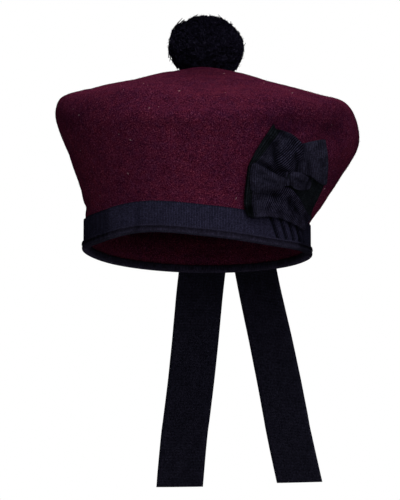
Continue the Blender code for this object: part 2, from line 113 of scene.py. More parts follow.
# Profile of the strip before and behind its fold: reach in walls and millimetres past the
# gap that it leaves, height in whole heights and millimetres, and share of the rib depth
BINDING_FRONT = (
    (0, 0, 1, -0.3, 0.0),
    (0.45, 0, 1, 0.05, 0.2),
    (0.95, 0, 1, -0.15, 0.5),
    (1, 0.1, 1, -0.7, 1.0),
    (1, -0.35, 1, -1.3, 1.0),
    (1, -0.25, 1, -2.6, 1.0),
    (1, 0, 0, 1.6, 1.0),
)
BINDING_BACK = (
    (-1, 0, 0, 1.8, 0.6),
    (-1, 0, 1, -0.4, 0.6),
    (-0.4, 0, 1, 0, 0.0),
    (0, 0, 1, -0.4, 0.0),
)

# Pleats in the band under the cockade, in degrees where not in millimetres or shares
PLEAT_COUNT = 4
PLEAT_BEARING = 337.6
PLEAT_PITCH = 6.4
PLEAT_LEAN = 7.5
PLEAT_CREST = 0.30
PLEAT_DEPTH = 2.2 * MM
PLEAT_FOOT = 0.8
PLEAT_FADE = 0.08
PLEAT_MARGIN = 0.3
NOTCH_DEPTH = 1.3 * MM
NOTCH_WIDTH = 0.55
# Painted shade in the gaps between the pleats, and its half width in degrees
NOTCH_SHADE = 0.95
NOTCH_SHADE_WIDTH = 1.1

# Felt body above the band
CROWN_RISE = 127.7 * MM
CROWN_OVERHANG = 40.0 * MM
CROWN_TOP_SHIFT = np.array((6.6 * MM, 1.8 * MM, 0.0))
SHIFT_START = 0.5
FOLD_DEPTH = 6.0 * MM
DIMPLE_DEPTH = 11.0 * MM
DIMPLE_RADIUS = 22.0 * MM
FELT_BEARINGS = 320
FELT_ROWS = 118
CURVE_STEPS = 20
WAVE_DEPTH = 0.55 * MM
WAVE_SIZE = 26.0 * MM
PUCKER_DEPTH = 0.16 * MM
PUCKER_SIZE = 6.5 * MM
CALM_END = 0.05

# Nap and lint of the felt: how many, and least and most in millimetres or shares. The steps
# along a speck have its share, height and taper.
OFF_LEVEL = (0.3, 0.2, 1.0)
NAP_SEED = 11
NAP_HAIRS = 12000
NAP_REACH = (0.5, 1.5)
NAP_STAND = (0.15, 0.75)
NAP_SINK = 0.1
NAP_RADII = (0.05, 0.012)
LINT_SEED = 23
LINT_SPECKS = 110
LINT_BEND = (-1.2, 1.2)
LINT_SIZE = 1.6
LINT_SPREAD = (0.25, 0.9)
LINT_RADIUS = (0.05, 0.13)
LINT_STEPS = (
    (-1.0, 0.15, 0.4),
    (-0.4, 0.21, 1.0),
    (0.3, 0.22, 1.0),
    (1.0, 0.15, 0.4),
)

# Ribbon cockade on the wearer's left: its pinch lies on the wall at this place
COCKADE_BEARING = 324.2
COCKADE_HEIGHT = 43.2 * MM
COCKADE_TILT = math.radians(26)
COCKADE_RIB = 1.9 * MM
COCKADE_RIB_DEPTH = 0.26 * MM
COCKADE_WIDTH = 38.0 * MM
COCKADE_COLUMNS = 22
COCKADE_LEAST = 0.5 * MM
GUIDE_STEPS = 24
SEAT_HEIGHTS = np.arange(-12, 100) * MM
SEAT_WINDOW = 3
SEAT_STEP = 1.5 * MM
SEAT_BLEND = 7.0 * MM
SEAT_END = 1.001
FAINT_RIB = 0.5
RIB_CHANGE = 0.4

# Toorie of wool yarn, with hair sizes in millimetres
TOORIE_SEED = 5
YARNS = 4600
YARN_RADIUS = 0.50 * MM
YARN_SIZES = (0.75, 1.2)
YARN_REACH = (0.965, 1.0)
YARN_BEND = 5.6 * MM
YARN_LENGTHS = (0.6, 1.15)
YARN_GAP = 0.8 * MM
HAIRS = 5000
HAIR_STEP = 3
HAIR_LENGTHS = (1.2, 3.0)
HAIR_RADII = (0.10, 0.03)
HAIR_SPREAD = 0.5
HAIR_LIFT = 0.35
SWELL_SCALE = 2.3
SWELL_RISE = 0.03
FLOW_SCALE = 2.6
FLOW_START = 7 * UP
FLOW_SPREAD = 0.20
AWAY_SPREAD = 0.02
CURL_SPREAD = 0.8
CORE_SCALE = 9.0
CORE_SIZE = 0.88
CORE_BUMP = 0.02
CORE_SPLITS = 5
# Painted shade that darkens the toorie towards its top, from this share of its half height below
# its middle
CREST_SHADE = 0.28
ABOVE_ALL = 0.25

# Steps of a yarn end: how far out it is, how much of its bend it has, and its thickness
YARN_STEPS = (
    (0.62, 0.0, 0.8),
    (0.86, 0.04, 1.0),
    (0.95, 0.25, 1.1),
    (0.99, 0.65, 1.0),
    (0.975, 1.0, 0.5),
)

# Lumps of the toorie: which way they lie, half width in degrees, rise as a share of its size
TOORIE_LUMPS = table(
    "towards width rise",
    ((-0.80, -0.24, 0.60), 21, 0.120),
    ((0.76, 0.15, -0.85), 26, 0.080),
    ((0.02, 0.00, 1.00), 30, 0.090),
    ((0.70, 0.18, 0.66), 26, 0.025),
    ((-0.62, -0.18, -0.75), 22, -0.060),
)

# Ribbon tails sewn outside the band at the nape
TAIL_WIDTH = 40.0 * MM
TAIL_LENGTH = 203.0 * MM
TAIL_GAP = 1.0 * MM
TAIL_STANDOFF = 7.0 * MM
TAIL_FLAT = 0.06
TAIL_RIB = 1.25 * MM
TAIL_RIB_DEPTH = 0.22 * MM
TAIL_COLUMNS = 12
TAIL_RIPPLE = 0.5 * MM
TAIL_RIPPLE_SCALE = (9, 2.2, 3.1)
TAIL_HELD = 0.1
TAIL_LOOSENS = 1 / 3
TAIL_STEPS = 12
NAPE_BEARING = 90

# Height of the lower edge, as a share of the band height
EDGE = table(
    "bearing height",
    (15, -0.16),
    (60, -0.14),
    (105, -0.12),
    (150, -0.08),
    (195, -0.03),
    (230, -0.10),
    (262, 0.00),
    (290, -0.18),
    (325, -0.30),
    (350, -0.23),
)

# Stretches of the ribbon with painted shade: where its end is turned over at the wearer's
# right temple, where it goes behind the pleats, and a narrow band at the brow. Ridges is how
# much of the painted shade the ridges of the turned end take away, leaving paler lines.
RIDGE_BEARING = 235.0
RIDGE_PITCH = 4.0
RIDGE_WIDTH = 0.7
RIBBON_SHADES = table(
    "name bearing half fade shade ridges",
    ("turned_end", TURN_MIDDLE, TURN_HALF, 0.5, 0.50, 0.25),
    ("behind_pleats", 361.0, 13.0, 3.0, 0.60, 0.0),
    ("slack_place", 258.3, 0.0, 1.7, 0.28, 0.0),
)

# Lines of the band's selvage: drop from its top as a share of the selvage, sink as a share
# of the wall, share of the rib depth, and wave of the height in millimetres
SELVAGE_LINES = table(
    "drop sink rib wave",
    (0.75, 0.02, 0.5, 0.0),
    (0.3, 0.0, 0.35, 0.0),
    (0.0, 0.25, 0.3, 0.12),
)

# Sections of the felt body: reaches past the collar as shares of the overhang, heights
# above the band as shares of the rise
CROWN_SECTIONS = table(
    "bearing low mid mid_height rim rim_height shoulder shoulder_height brink_height "
    "shelf_height",
    (15, 0.32, 0.64, 0.28, 1.03, 0.53, 0.77, 0.730, 0.775, 0.860),
    (60, 0.26, 0.63, 0.28, 0.93, 0.48, 0.71, 0.655, 0.725, 0.850),
    (105, 0.25, 0.62, 0.28, 0.92, 0.44, 0.70, 0.610, 0.685, 0.835),
    (150, 0.27, 0.55, 0.28, 0.87, 0.52, 0.65, 0.690, 0.745, 0.850),
    (195, 0.06, 0.41, 0.48, 0.63, 0.695, 0.57, 0.760, 0.808, 0.885),
    (240, 0.10, 0.31, 0.28, 0.63, 0.56, 0.38, 0.685, 0.745, 0.828),
    (285, 0.20, 0.47, 0.28, 0.72, 0.46, 0.45, 0.595, 0.655, 0.796),
    (330, 0.37, 0.70, 0.28, 1.00, 0.475, 0.76, 0.640, 0.705, 0.825),
)
LOW_HEIGHT = 0.125
BRINK_REACH = 0.86
SHELF_REACH = 0.54

# Folds of the felt: place and size in bearing and in the share of the way from the band to
# the top, depth as a share of the fold depth, painted shade, and lean in degrees over the whole
# way. The two deepest hollows also take painted shade. Those from front_ridge on are in the
# fine surface alone, and the last three are painted shade alone, above the cockade, below the
# toorie and under the left rim.
FOLDS = table(
    "name bearing station spread span depth shade lean",
    ("hollow_before_toorie", 288, 0.61, 20, 0.060, -0.40),
    ("arch_ridge", 291, 0.420, 12, 0.032, 0.25),
    ("rim_over_cockade", 321, 0.394, 12, 0.034, 0.85),
    ("rim_before_cockade", 308, 0.364, 9, 0.036, 0.72),
    ("hollow_over_cockade", 321, 0.335, 17, 0.040, -0.80, 0.80),
    ("slack_by_cockade", 321, 0.270, 17, 0.080, -0.30),
    ("side_rim", 345, 0.425, 8, 0.035, 0.35),
    ("side_valley", 343, 0.328, 9, 0.050, -1.05, 1.05, 20),
    ("side_bulge", 346, 0.250, 9, 0.045, 0.35),
    ("brow_dent", 279, 0.27, 8, 0.060, -0.35, 0, 30),
    ("collar_crease", 195, 0.045, 22, 0.020, -0.30),
    ("right_bump", 213, 0.545, 7, 0.030, 0.18),
    ("front_ridge", 285, 0.885, 34, 0.050, 0.33),
    ("brow_fold", 272, 0.560, 16, 0.030, 0.30),
    ("brow_furrow", 282, 0.500, 13, 0.026, -0.26),
    ("upper_left_swell", 263, 0.460, 13, 0.045, 0.45),
    ("brow_swell", 297, 0.334, 12, 0.030, 0.60),
    ("brow_rise", 276, 0.308, 15, 0.030, 0.50),
    ("left_slope", 226, 0.565, 14, 0.055, -0.60),
    ("arch_end", 304, 0.385, 9, 0.042, -0.75),
    ("brow_shelf", 280, 0.380, 14, 0.040, -0.35),
    ("brow_crest", 303, 0.330, 7, 0.028, 0.25),
    ("above_cockade", 317, 0.312, 8, 0.026, 0, 1.00),
    ("below_toorie", 285, 0.780, 32, 0.130, 0, 0.55),
    ("under_left_rim", 243, 0.365, 10, 0.050, 0, 0.45),
)

# Ribbon layers of the cockade: each row is one line across the ribbon, with its first, middle
# and last point. A point's three numbers are across the wall towards the rear, up the wall and
# lift off the wall, in millimetres.
LEFT_LOOP = [
    (-18, 7, 0.5, -13, -11, 0.5, -10, -27, 0.5),
    (-32, 6, 0.6, -28, -12, 0.6, -25, -29, 0.6),
    (-37, 5, 1.7, -36, -11, 1.7, -34, -26, 1.7),
    (-37, 6, 3.0, -36, -10, 3.2, -33, -29, 3.0),
    (-32, 5, 3.2, -29, -11, 3.5, -25, -30.5, 3.0),
    (-23, 5.5, 0.9, -19, -12, 2.9, -16, -29, 2.4),
    (-8, 5, 0.6, -7, -12, 1.5, -6, -26, 1.3),
]
LOWER_RIGHT = [
    (0, 8, 1.0, -4, -3, 1.0, -8, -14, 1.0),
    (23, 8, 1.2, 20, -6, 1.2, 18, -16, 1.0),
    (37, 9, 1.8, 38, -9, 1.7, 34, -24, 1.3),
    (46, 8, 3.0, 55.5, -7.5, 2.2, 68, -21, 1.6),
]
UPPER_LOOP = [
    (-9, 29, 0.5, -14, 16, 0.5, -20, 3, 0.5),
    (-21, 32.5, 0.6, -27, 19.5, 0.6, -32.5, 6.5, 0.6),
    (-24, 36.5, 2.0, -32.5, 19.5, 2.0, -37.5, 4.5, 2.0),
    (-23.5, 34.5, 4.0, -31, 20, 4.2, -37, 6, 3.8),
    (-18, 33.5, 4.6, -26, 19, 5.0, -34, 7, 3.8),
    (-11, 32, 4.4, -20, 17, 4.2, -29, 6, 3.2),
    (-3, 28, 4.4, -12, 14.5, 4.4, -21, 4, 2.9),
    (4, 22.5, 4.0, -5, 11.5, 4.6, -12, 2, 2.8),
    (8, 13, 3.0, 3, 6, 3.4, -2, -1.5, 2.6),
]
RIGHT_FLAP = [
    (4.5, 19.5, 0.6, 6.5, 14, 0.6, 9, 8.5, 0.6),
    (14, 26, 1.5, 24.5, 15, 2.0, 37, 3, 2.5),
    (21.5, 31, 4.0, 31, 17, 4.5, 45.5, 4.5, 5.0),
    (18.5, 32.5, 6.0, 27, 18, 6.5, 40.5, 3, 7.0),
    (7.5, 29.5, 5.5, 17.5, 16.5, 6.2, 31.5, 3, 6.6),
    (2, 27, 4.6, 9, 16, 5.4, 17, 5.5, 5.8),
    (-2, 24.5, 3.2, 1, 14.5, 4.4, 3.5, 5.5, 4.8),
]
BOTTOM_FLAP = [
    (-25, -10, 2.6, -24.5, -19.5, 2.8, -24.5, -29.5, 2.4),
    (-21, -8.5, 4.0, -21.5, -18, 4.4, -22.5, -29.5, 3.2),
    (-11.5, -7, 4.6, -13.5, -17, 5.0, -17, -29, 3.4),
    (1, -5, 4.6, -1.5, -16, 5.0, -8, -28.5, 3.4),
    (15.5, -9, 4.4, 12.5, -18, 4.8, 4, -28.5, 3.4),
    (36.5, -15.5, 4.0, 29.5, -22.5, 4.2, 21.5, -30.5, 3.2),
    (62, -20.5, 2.6, 50.5, -27, 2.8, 41.5, -33.5, 2.4),
]
BOW_LEFT = [
    (-3, 1, 2.8, -2, -1.5, 2.8, -1, -3.5, 2.8),
    (-19, 2, 3.0, -17, -3.5, 3.0, -15, -8, 3.0),
    (-32, 6.5, 3.9, -31.5, -1.5, 3.9, -29.5, -9, 3.9),
    (-36, 8, 5.2, -35.5, -1, 5.2, -33, -9, 5.2),
    (-35, 9.5, 6.8, -34.5, 0, 7.0, -31.5, -10, 6.6),
    (-29, 7.5, 7.4, -27, -1, 8.0, -24, -10.5, 7.2),
    (-19, 4, 7.0, -17.5, -2, 7.8, -13, -8.5, 6.8),
    (-11, 2, 6.0, -9, -2, 6.6, -6, -6, 6.0),
    (-3.5, 1, 4.6, -2.5, -1, 4.8, -1, -3, 4.6),
]
BOW_RIGHT = [
    (-3.5, 3, 4.4, -3, 1, 4.6, 0, -1.5, 4.4),
    (-2, 6, 6.2, 0, 1.5, 7.0, 4, -4, 6.2),
    (5, 6.5, 7.0, 7.5, 1.5, 7.8, 12, -5, 6.8),
    (13.5, 5, 6.0, 17.5, 1, 6.4, 20.5, -4, 5.8),
    (20.5, 4, 3.6, 25.5, 0.5, 3.6, 26.5, -3, 3.6),
    (17.5, 3, 2.4, 20.5, 0, 2.4, 22.5, -3.5, 2.4),
]
KNOT = [
    (-6, 3.5, 3.0, -5, 0.5, 3.2, -1.5, -3.5, 3.0),
    (-8, 5, 5.4, -6.5, 1, 5.6, -2.5, -3.5, 5.4),
    (-7.5, 5.5, 6.4, -6, 1.5, 6.4, -2, -3.5, 6.4),
    (-5, 5, 5.4, -3, 1.5, 5.6, 1, -3, 5.4),
    (-1.5, 4, 3.0, 0.5, 1, 3.2, 4, -2.5, 3.0),
]

# How many lines of each layer, from its first on, take a dark copy of the ribbon as painted
# shade, and from which line on its ribs stand up plainly with the full painted sheen on their
# ridges; lines before that have lower ribs and a copy with fainter painted sheen
NEVER = 99
LAYERS = table(
    "name lines reverse node crisp",
    ("left_loop", LEFT_LOOP, 3.9, "cockade_back", NEVER),
    ("lower_right", LOWER_RIGHT, 9, "cockade_back", NEVER),
    ("upper_loop", UPPER_LOOP, 3.8, "cockade_back", 5.3),
    ("right_flap", RIGHT_FLAP, 1.5, "cockade_back", NEVER),
    ("bottom_flap", BOTTOM_FLAP, 0.2, "cockade_back", 1.8),
    ("bow_left", BOW_LEFT, 2.5, "cockade_bow", NEVER),
    ("bow_right", BOW_RIGHT, 0.5, "cockade_bow", NEVER),
    ("knot", KNOT, 0.2, "cockade_bow", NEVER),
)

# Creases pressed into the cockade's ribbon: middle on the wall, half length and half width
# in millimetres, lean in degrees from level, depth in millimetres. Each crease also darkens the
# ribbon with painted shade.
CREASES = table(
    "layer across up length width lean depth",
    ("left_loop", -30, -25, 7, 5.0, 70, 2.2),
    ("upper_loop", -17.5, 13, 9, 2.4, -62, 2.2),
    ("upper_loop", -10.5, 5.5, 7, 2.2, -24, 1.6),
    ("upper_loop", -20, 5.5, 11, 1.7, -19, 1.8),
    ("upper_loop", -22, 21, 10, 5.5, -60, 1.5),
    ("upper_loop", -15.5, 30.5, 13, 3.0, -22, 1.6),
    ("upper_loop", -1, 15, 8, 1.8, -63, 1.4),
    ("bow_left", -19, -2, 12, 1.6, -12, 1.2),
    ("bow_left", -26, 2, 9, 1.6, -18, 0.6),
    ("bow_left", -20, 5, 13, 1.0, -18, 0.9),
    ("bow_left", -20, -9, 14, 1.0, 2, 0.9),
    ("knot", -5, 1, 6, 2.0, 60, 1.4),
    ("bow_right", 8, 1, 9, 1.4, -8, 1.0),
    ("bow_right", 20, 1, 5, 3.5, 80, 1.6),
    ("bottom_flap", -8, -12, 12, 2.6, -8, 1.6),
    ("bottom_flap", 13, -16, 9, 3.2, -32, 1.8),
    ("bottom_flap", 6, -24, 9, 1.8, -22, 0.8),
    ("bottom_flap", 26, -19, 12, 3.0, -24, 1.8),
    ("bottom_flap", 46, -24, 9, 4.0, -24, 1.4),
    ("right_flap", 12, 12, 9, 2.2, -50, 1.0),
    ("right_flap", 26, 12, 12, 3.0, -44, 0.7),
    ("right_flap", 3, 15, 10, 2.4, -75, 1.2),
)
# Depth in millimetres at which a crease's painted shade is darkest
CREASE_DARK = 2.0

# Ribbon tails: which side of the nape, and how far they lean outwards
TAILS = table(
    "name side lean",
    ("tail_left", 1, math.radians(10.7)),
    ("tail_right", -1, math.radians(7.0)),
)

# How a tail stands off the nape down its length, as a share of the stand-off, and how much
# of the band's curve it keeps across its width
TAIL_ROWS = table(
    "length standoff curve",
    (0.00, 0.00, 1.00),
    (0.06, 0.02, 1.00),
    (0.10, 0.17, 1.00),
    (0.16, 0.20, 0.98),
    (0.28, 0.45, 0.85),
    (0.42, 0.85, 0.70),
    (0.58, 1.05, 0.60),
    (0.72, 1.00, 0.55),
    (0.77, 0.90, 0.55),
    (0.82, 0.98, 0.50),
    (0.91, 1.25, 0.45),
    (1.00, 1.60, 0.40),
)

# Noise of the surfaces: each row starts with its features to the metre, detail, roughness and
# distortion. A row of colours goes on with the noise's values and the colour at each, and is
# multiplied by the rows before it. A row of bumps goes on with strength and depth in
# millimetres. Deepest is the tint of the darkest painted shade.
NOISE_INPUTS = ("Scale", "Detail", "Roughness", "Distortion")
SURFACES = table(
    "name roughness gloss colours deepest bumps",
    ("milled_felt", 0.95, 0.0, [
        (1150, 4.0, 0.75, 0.3, [(0.36, (0.0085, 0.0013, 0.0042)), (0.46, (0.033, 0.0040, 0.0130)),
                                (0.56, (0.065, 0.0088, 0.0248)), (0.67, (0.168, 0.0380, 0.0680))]),
        (260, 3.0, 0.7, 0.0, [(0.38, (1.10, 1.00, 0.94)), (0.64, (0.80, 0.95, 1.04))]),
        (130, 3.0, 0.6, 0.0, [(0.34, (0.84, 0.86, 0.90)), (0.66, (1.14, 1.12, 1.10))]),
        (24, 2.0, 0.5, 0.0, [(0.35, (0.86, 0.88, 0.94)), (0.65, (1.12, 1.08, 1.04))]),
    ], (0.52, 0.56, 0.60), [(850, 4.0, 0.7, 0.6, 0.7, 0.45), (170, 3.0, 0.6, 0.0, 0.40, 0.8)]),
    ("black_wool", 0.9, 0.0, [
        (420, 4.0, 0.7, 0.0, [(0.34, (0.0026, 0.0022, 0.0045)), (0.52, (0.0074, 0.0065, 0.0129)),
                              (0.68, (0.0212, 0.0190, 0.0342))]),
        (170, 2.0, 0.5, 0.6, [(0.36, (0.78, 0.78, 0.80)), (0.64, (1.24, 1.24, 1.26))]),
    ], (0.40, 0.40, 0.44), [(1300, 3.0, 0.7, 1.0, 0.6, 0.4)]),
    ("pale_lint", 0.8, 0.2, [
        (300, 2.0, 0.6, 0.0, [(0.35, (0.20, 0.10, 0.12)), (0.65, (0.52, 0.42, 0.42))]),
    ]),
    ("pale_floor", 0.9, 0.5, [
        (3, 2.0, 0.6, 0.0, [(0.3, (0.80, 0.80, 0.80)), (0.7, (0.83, 0.83, 0.83))]),
    ]),
)

# What all ribbons share: noise with its colours, the dashes that run along their ribs, their
# bumps, and the values of noise and rib between which the colour goes from one to the other
RIBBON_CLOUD = [(520, 4.0, 0.8, 0.0, [(0.34, (0.65, 0.65, 0.66)), (0.66, (1.35, 1.35, 1.33))])]
RIBBON_DASHES = [(1, 2.0, 0.7, 0.0, [(0.36, (0.55, 0.55, 0.55)), (0.64, (1.50, 1.50, 1.55))])]
RIBBON_BUMPS = [(1500, 2.0, 0.6, 0.0, 0.25, 0.15)]
PATCHES = (150, 2.0, 0.6, 0.0)
PATCH_ENDS = (0.38, 0.62)
RIB_ENDS = (0.30, 0.80)
DASH_STRETCH = (1.25, 0.75, 1.0)

# Ribbons: colour in the grooves and on the ridges of the ribs, and how patchy it is. The dark
# grooves are painted shade and the paler ridges a painted sheen. The cockade has a copy with
# fainter painted sheen and a dark copy for painted shade, the tails a darker copy for painted
# shade, and the binding a paler copy for a painted highlight along its fold.
COCKADE_SURFACES = ("cockade_ribbon", "cockade_worn", "ribbon_reverse")
RIBBON_ROUGHNESS = 0.8
# Tint of the darkest painted shade on the ribbons
RIBBON_DEEPEST = (0.13, 0.15, 0.14)
THREAD_SPACING = 0.35
THREAD_WAVER = 1.0
THREAD_STRENGTH = 0.35
THREAD_DEPTH = 0.12
RIBBONS = table(
    "name groove ridge patchy",
    ("black_ribbon", (0.0078, 0.0074, 0.0150), (0.0190, 0.0180, 0.0360), 0.10),
    ("binding_ribbon", (0.0075, 0.0064, 0.0120), (0.0205, 0.0185, 0.0335), 0.15),
    ("binding_thread", (0.0100, 0.0092, 0.0170), (0.0230, 0.0210, 0.0400), 0.0),
    ("cockade_ribbon", (0.0030, 0.0028, 0.0054), (0.0225, 0.0208, 0.0380), 0.40),
    ("cockade_worn", (0.0085, 0.0082, 0.0150), (0.0165, 0.0155, 0.0275), 0.30),
    ("ribbon_reverse", (0.0032, 0.0038, 0.0048), (0.0078, 0.0096, 0.0122), 0.20),
    ("tail_ribbon", (0.0052, 0.0050, 0.0088), (0.0128, 0.0122, 0.0212), 0.12),
)

# Studio: the floor, well below the bonnet, and what the world sheds on it
FLOOR_HEIGHT = -1.2
FLOOR_RADIUS = 2.0
FLOOR_SIDES = 96
FILL_COLOUR = (0.94, 0.96, 1.0, 1.0)
FILL_STRENGTH = 0.06
WHITE = (1.0, 1.0, 1.0, 1.0)

# Soft boxes that aim at the crown: degrees round to the camera's right and above level
LAMPS = table(
    "name swing rise watts colour",
    ("front_low", 12, 5, 15, (0.98, 0.98, 1.00)),
    ("front_high", 15, 38, 19, (1.00, 0.99, 0.97)),
    ("front_right", 50, 5, 6, (0.98, 0.98, 1.00)),
    ("front_left", -62, 8, 3, (0.98, 0.98, 1.00)),
    ("top", -35, 75, 11, (1.00, 0.94, 0.84)),
    ("top_back", 182, 58, 48, (1.00, 0.94, 0.80)),
)
LAMP_AIM = Vector((0.0, 0.0, 0.08))
LAMP_DISTANCE = 2.0
LAMP_SIZE = 1.0

# Camera: round from the brow towards the wearer's left, below the bonnet and looking up. The
# origin of the frame lies at this pixel of the picture.
CAMERA_AZIMUTH = math.radians(15)
CAMERA_RISE = math.radians(-9)
CAMERA_DISTANCE = 2.0
CAMERA_LENS = 180.0
SENSOR_HEIGHT = 36.0
PICTURE_WIDTH = 400
PICTURE_HEIGHT = 500
ORIGIN_X = 197.5
ORIGIN_Y = 251.0
AWAY = Vector((-math.sin(CAMERA_AZIMUTH) * math.cos(CAMERA_RISE),
               math.cos(CAMERA_AZIMUTH) * math.cos(CAMERA_RISE), -math.sin(CAMERA_RISE)))
RIGHT = Vector((math.cos(CAMERA_AZIMUTH), math.sin(CAMERA_AZIMUTH), 0.0))


def hermite(start, end, start_slope, end_slope, share):
    """Cubic between two values with the given slopes at its ends."""
    square = share * share
    cube = square * share
    return (start * (2 * cube - 3 * square + 1) + start_slope * (cube - 2 * square + share)
            + end * (3 * square - 2 * cube) + end_slope * (cube - square))


def slope_at(before, here, after, step_before, step_after):
    """Slope of the smooth curve at a point, from its two neighbours."""
    rise = (here - before) * (step_after / step_before)
    rise += (after - here) * (step_before / step_after)
    return rise / (step_before + step_after)


def around(rows, column, angle):
    """Value of a table's column on a smooth closed curve; its first column is the angle."""
    count = len(rows)
    angle = (angle - rows[0][0]) % 360 + rows[0][0]
    index = max(number for number, row in enumerate(rows) if row[0] <= angle)
    knots = []
    for number in range(index - 1, index + 3):
        row = rows[number % count]
        knots.append((row[0] + 360 * (number // count), getattr(row, column)))
    (a0, v0), (a1, v1), (a2, v2), (a3, v3) = knots
    gap = a2 - a1
    slope_1 = slope_at(v0, v1, v2, a1 - a0, gap) * gap
    slope_2 = slope_at(v1, v2, v3, gap, a3 - a2) * gap
    return hermite(v1, v2, slope_1, slope_2, (angle - a1) / gap)


def smooth_curve(points, steps):
    """Dense points of a smooth curve through the inner points; the two ends only steer it."""
    dense = []
    for p0, p1, p2, p3 in zip(points, points[1:], points[2:], points[3:]):
        gap = (p2 - p1).length
        slope_1 = slope_at(p0, p1, p2, (p1 - p0).length, gap) * gap
        slope_2 = slope_at(p1, p2, p3, gap, (p3 - p2).length) * gap
        dense += [hermite(p1, p2, slope_1, slope_2, step / steps) for step in range(steps)]
    dense.append(points[-2])
    return np.array(dense)


def whole_curve(points, steps):
    """Dense points of a smooth curve through all the points."""
    return smooth_curve([2 * points[0] - points[1], *points, 2 * points[-1] - points[-2]], steps)


def run_along(points):
    """How far along a line each of its points lies."""
    return np.concatenate([[0.0], np.cumsum(np.linalg.norm(np.diff(points, axis=0), axis=1))])


def unit(vectors):
    """The same directions with length 1."""
    return vectors / np.maximum(np.linalg.norm(vectors, axis=-1, keepdims=True), TINY)


def bell(offset, width):
    """Smooth bump of height 1 and the given half width."""
    return np.exp(-(offset / width) ** 2)


def wrapped(degrees):
    """The same angles between -180 and 180 degrees."""
    return (degrees + 180) % 360 - 180


def ellipse_reach(extra, bearings):
    """Distance from the axis to the head opening's ellipse, grown by extra all round."""
    angles = np.radians(bearings)
    across = np.cos(angles) / (HEAD_HALF_WIDTH + extra)
    along = np.sin(angles) / (HEAD_HALF_LENGTH + extra)
    return 1.0 / np.hypot(across, along)


def edge_height(bearing):
    """Height of the bonnet's lower edge."""
    return around(EDGE, "height", bearing) * BAND_HEIGHT


def edge_heights(bearings):
    """Heights of the lower edge at many bearings."""
    return np.array([edge_height(bearing) for bearing in bearings])


def polar(bearings, reach, heights):
    """Points at bearings, reaches and heights, which broadcast together."""
    bearings, reach, heights = np.broadcast_arrays(bearings, reach, heights)
    angles = np.radians(bearings)
    return np.stack([reach * np.cos(angles), reach * np.sin(angles), heights], axis=-1)


def spread_round(extra, pitch, samples=1):
    """Bearings evenly along the grown ellipse, samples to a pitch, their turns and its length."""
    fine = np.linspace(0, 360, FINE_BEARINGS)
    length = run_along(polar(fine, ellipse_reach(extra, fine), 0.0))
    count = round(length[-1] / pitch) * samples
    bearings = np.interp(np.arange(count) / count * length[-1], length, fine)
    return bearings, np.arange(count) / samples, length[-1]


def ribs(turns):
    """Round-topped ribs with narrow grooves, one for each turn, from 0 in the groove to 1."""
    return np.sqrt(np.abs(np.sin(np.pi * turns)))


def rib_edges(columns):
    """Share of the rib depth across a ribbon, which is less at its two edges."""
    shares = np.ones(columns)
    shares[[0, -1]] = EDGE_RIB
    return shares


def grid_faces(rows, columns, closed_columns=False, closed_rows=False):
    """Quads of a grid of points numbered row by row."""
    row = np.arange(rows if closed_rows else rows - 1)[:, None]
    column = np.arange(columns if closed_columns else columns - 1)[None, :]
    above = (row + 1) % rows
    after = (column + 1) % columns
    corners = (row * columns + column, row * columns + after,
               above * columns + after, above * columns + column)
    corners = [np.broadcast_to(corner, (row.size, column.size)) for corner in corners]
    return np.stack(corners, axis=-1).reshape(-1, 4).tolist()


def tubes(paths, radii, sides):
    """Points and faces of closed tubes round many paths that have equally many points."""
    count, rings = paths.shape[:2]
    along = unit(np.gradient(paths, axis=1))
    whole = unit(paths[:, -1] - paths[:, 0])
    helper = np.where(np.abs(whole[:, 2:]) > STEEP, (1.0, 0.0, 0.0), (0.0, 0.0, 1.0))
    side = unit(np.cross(along, helper[:, None]))
    other = np.cross(along, side)
    angles = 2 * np.pi * np.arange(sides) / sides
    ring = side[:, :, None] * np.cos(angles)[:, None] + other[:, :, None] * np.sin(angles)[:, None]
    points = paths[:, :, None] + np.broadcast_to(radii, (count, rings))[..., None, None] * ring
    one = np.array(grid_faces(rings, sides, closed_columns=True))
    starts = (np.arange(count) * rings * sides)[:, None]
    quads = (one[None] + starts[:, :, None]).reshape(-1, 4).tolist()
    lids = (np.arange(sides)[::-1][None] + starts).tolist()
    lids += (np.arange(sides)[None] + starts + (rings - 1) * sides).tolist()
    return points.reshape(-1, 3), quads + lids


def add_object(name, data):
    """A new object in the scene."""
    thing = bpy.data.objects.new(name, data)
    bpy.context.scene.collection.objects.link(thing)
    return thing


def add_piece(name, points, faces, surface, nodes=()):
    """A smooth mesh that moves with the body and takes its finish from a slot."""
    mesh = bpy.data.meshes.new(name)
    mesh.from_pydata(np.asarray(points).tolist(), [], faces)
    mesh.materials.append(surface)
    mesh.shade_smooth()
    piece = add_object(name, mesh)
    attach(piece, "root")
    if nodes:
        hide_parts(*nodes)
    return piece


def thicken(piece, wall, offset):
    """Give an open sheet its wall, outwards for an offset of 1 and inwards for -1."""
    modifier = piece.modifiers.new("Wall", "SOLIDIFY")
    modifier.thickness = wall
    modifier.offset = offset


def map_ribs(piece, turns, widths):
    """Map a ribbon by ribs along it and millimetres across it; the two broadcast together."""
    layer = piece.data.uv_layers.new(name="ribbon")
    corners = np.empty(len(piece.data.loops), dtype=np.int32)
    piece.data.loops.foreach_get("vertex_index", corners)
    turns, widths = np.broadcast_arrays(turns, widths)
    flat = np.stack([turns.reshape(-1), widths.reshape(-1) / MM], axis=-1)[corners]
    layer.data.foreach_set("uv", flat.astype(np.float32).reshape(-1))


def set_painted_shade(piece, shades):
    """Note the painted shade at each point of a piece, from 0 to 1: in a fold, or where shaded."""
    layer = piece.data.attributes.new("shade", "FLOAT", "POINT")
    layer.data.foreach_set("value", np.asarray(shades, dtype=np.float32).reshape(-1))


def set_looks(piece, looks, columns):
    """Give a grid's faces the number of their material, from one number for each row."""
    numbers = np.repeat(np.asarray(looks, dtype=np.int32), columns)
    piece.data.polygons.foreach_set("material_index", numbers)


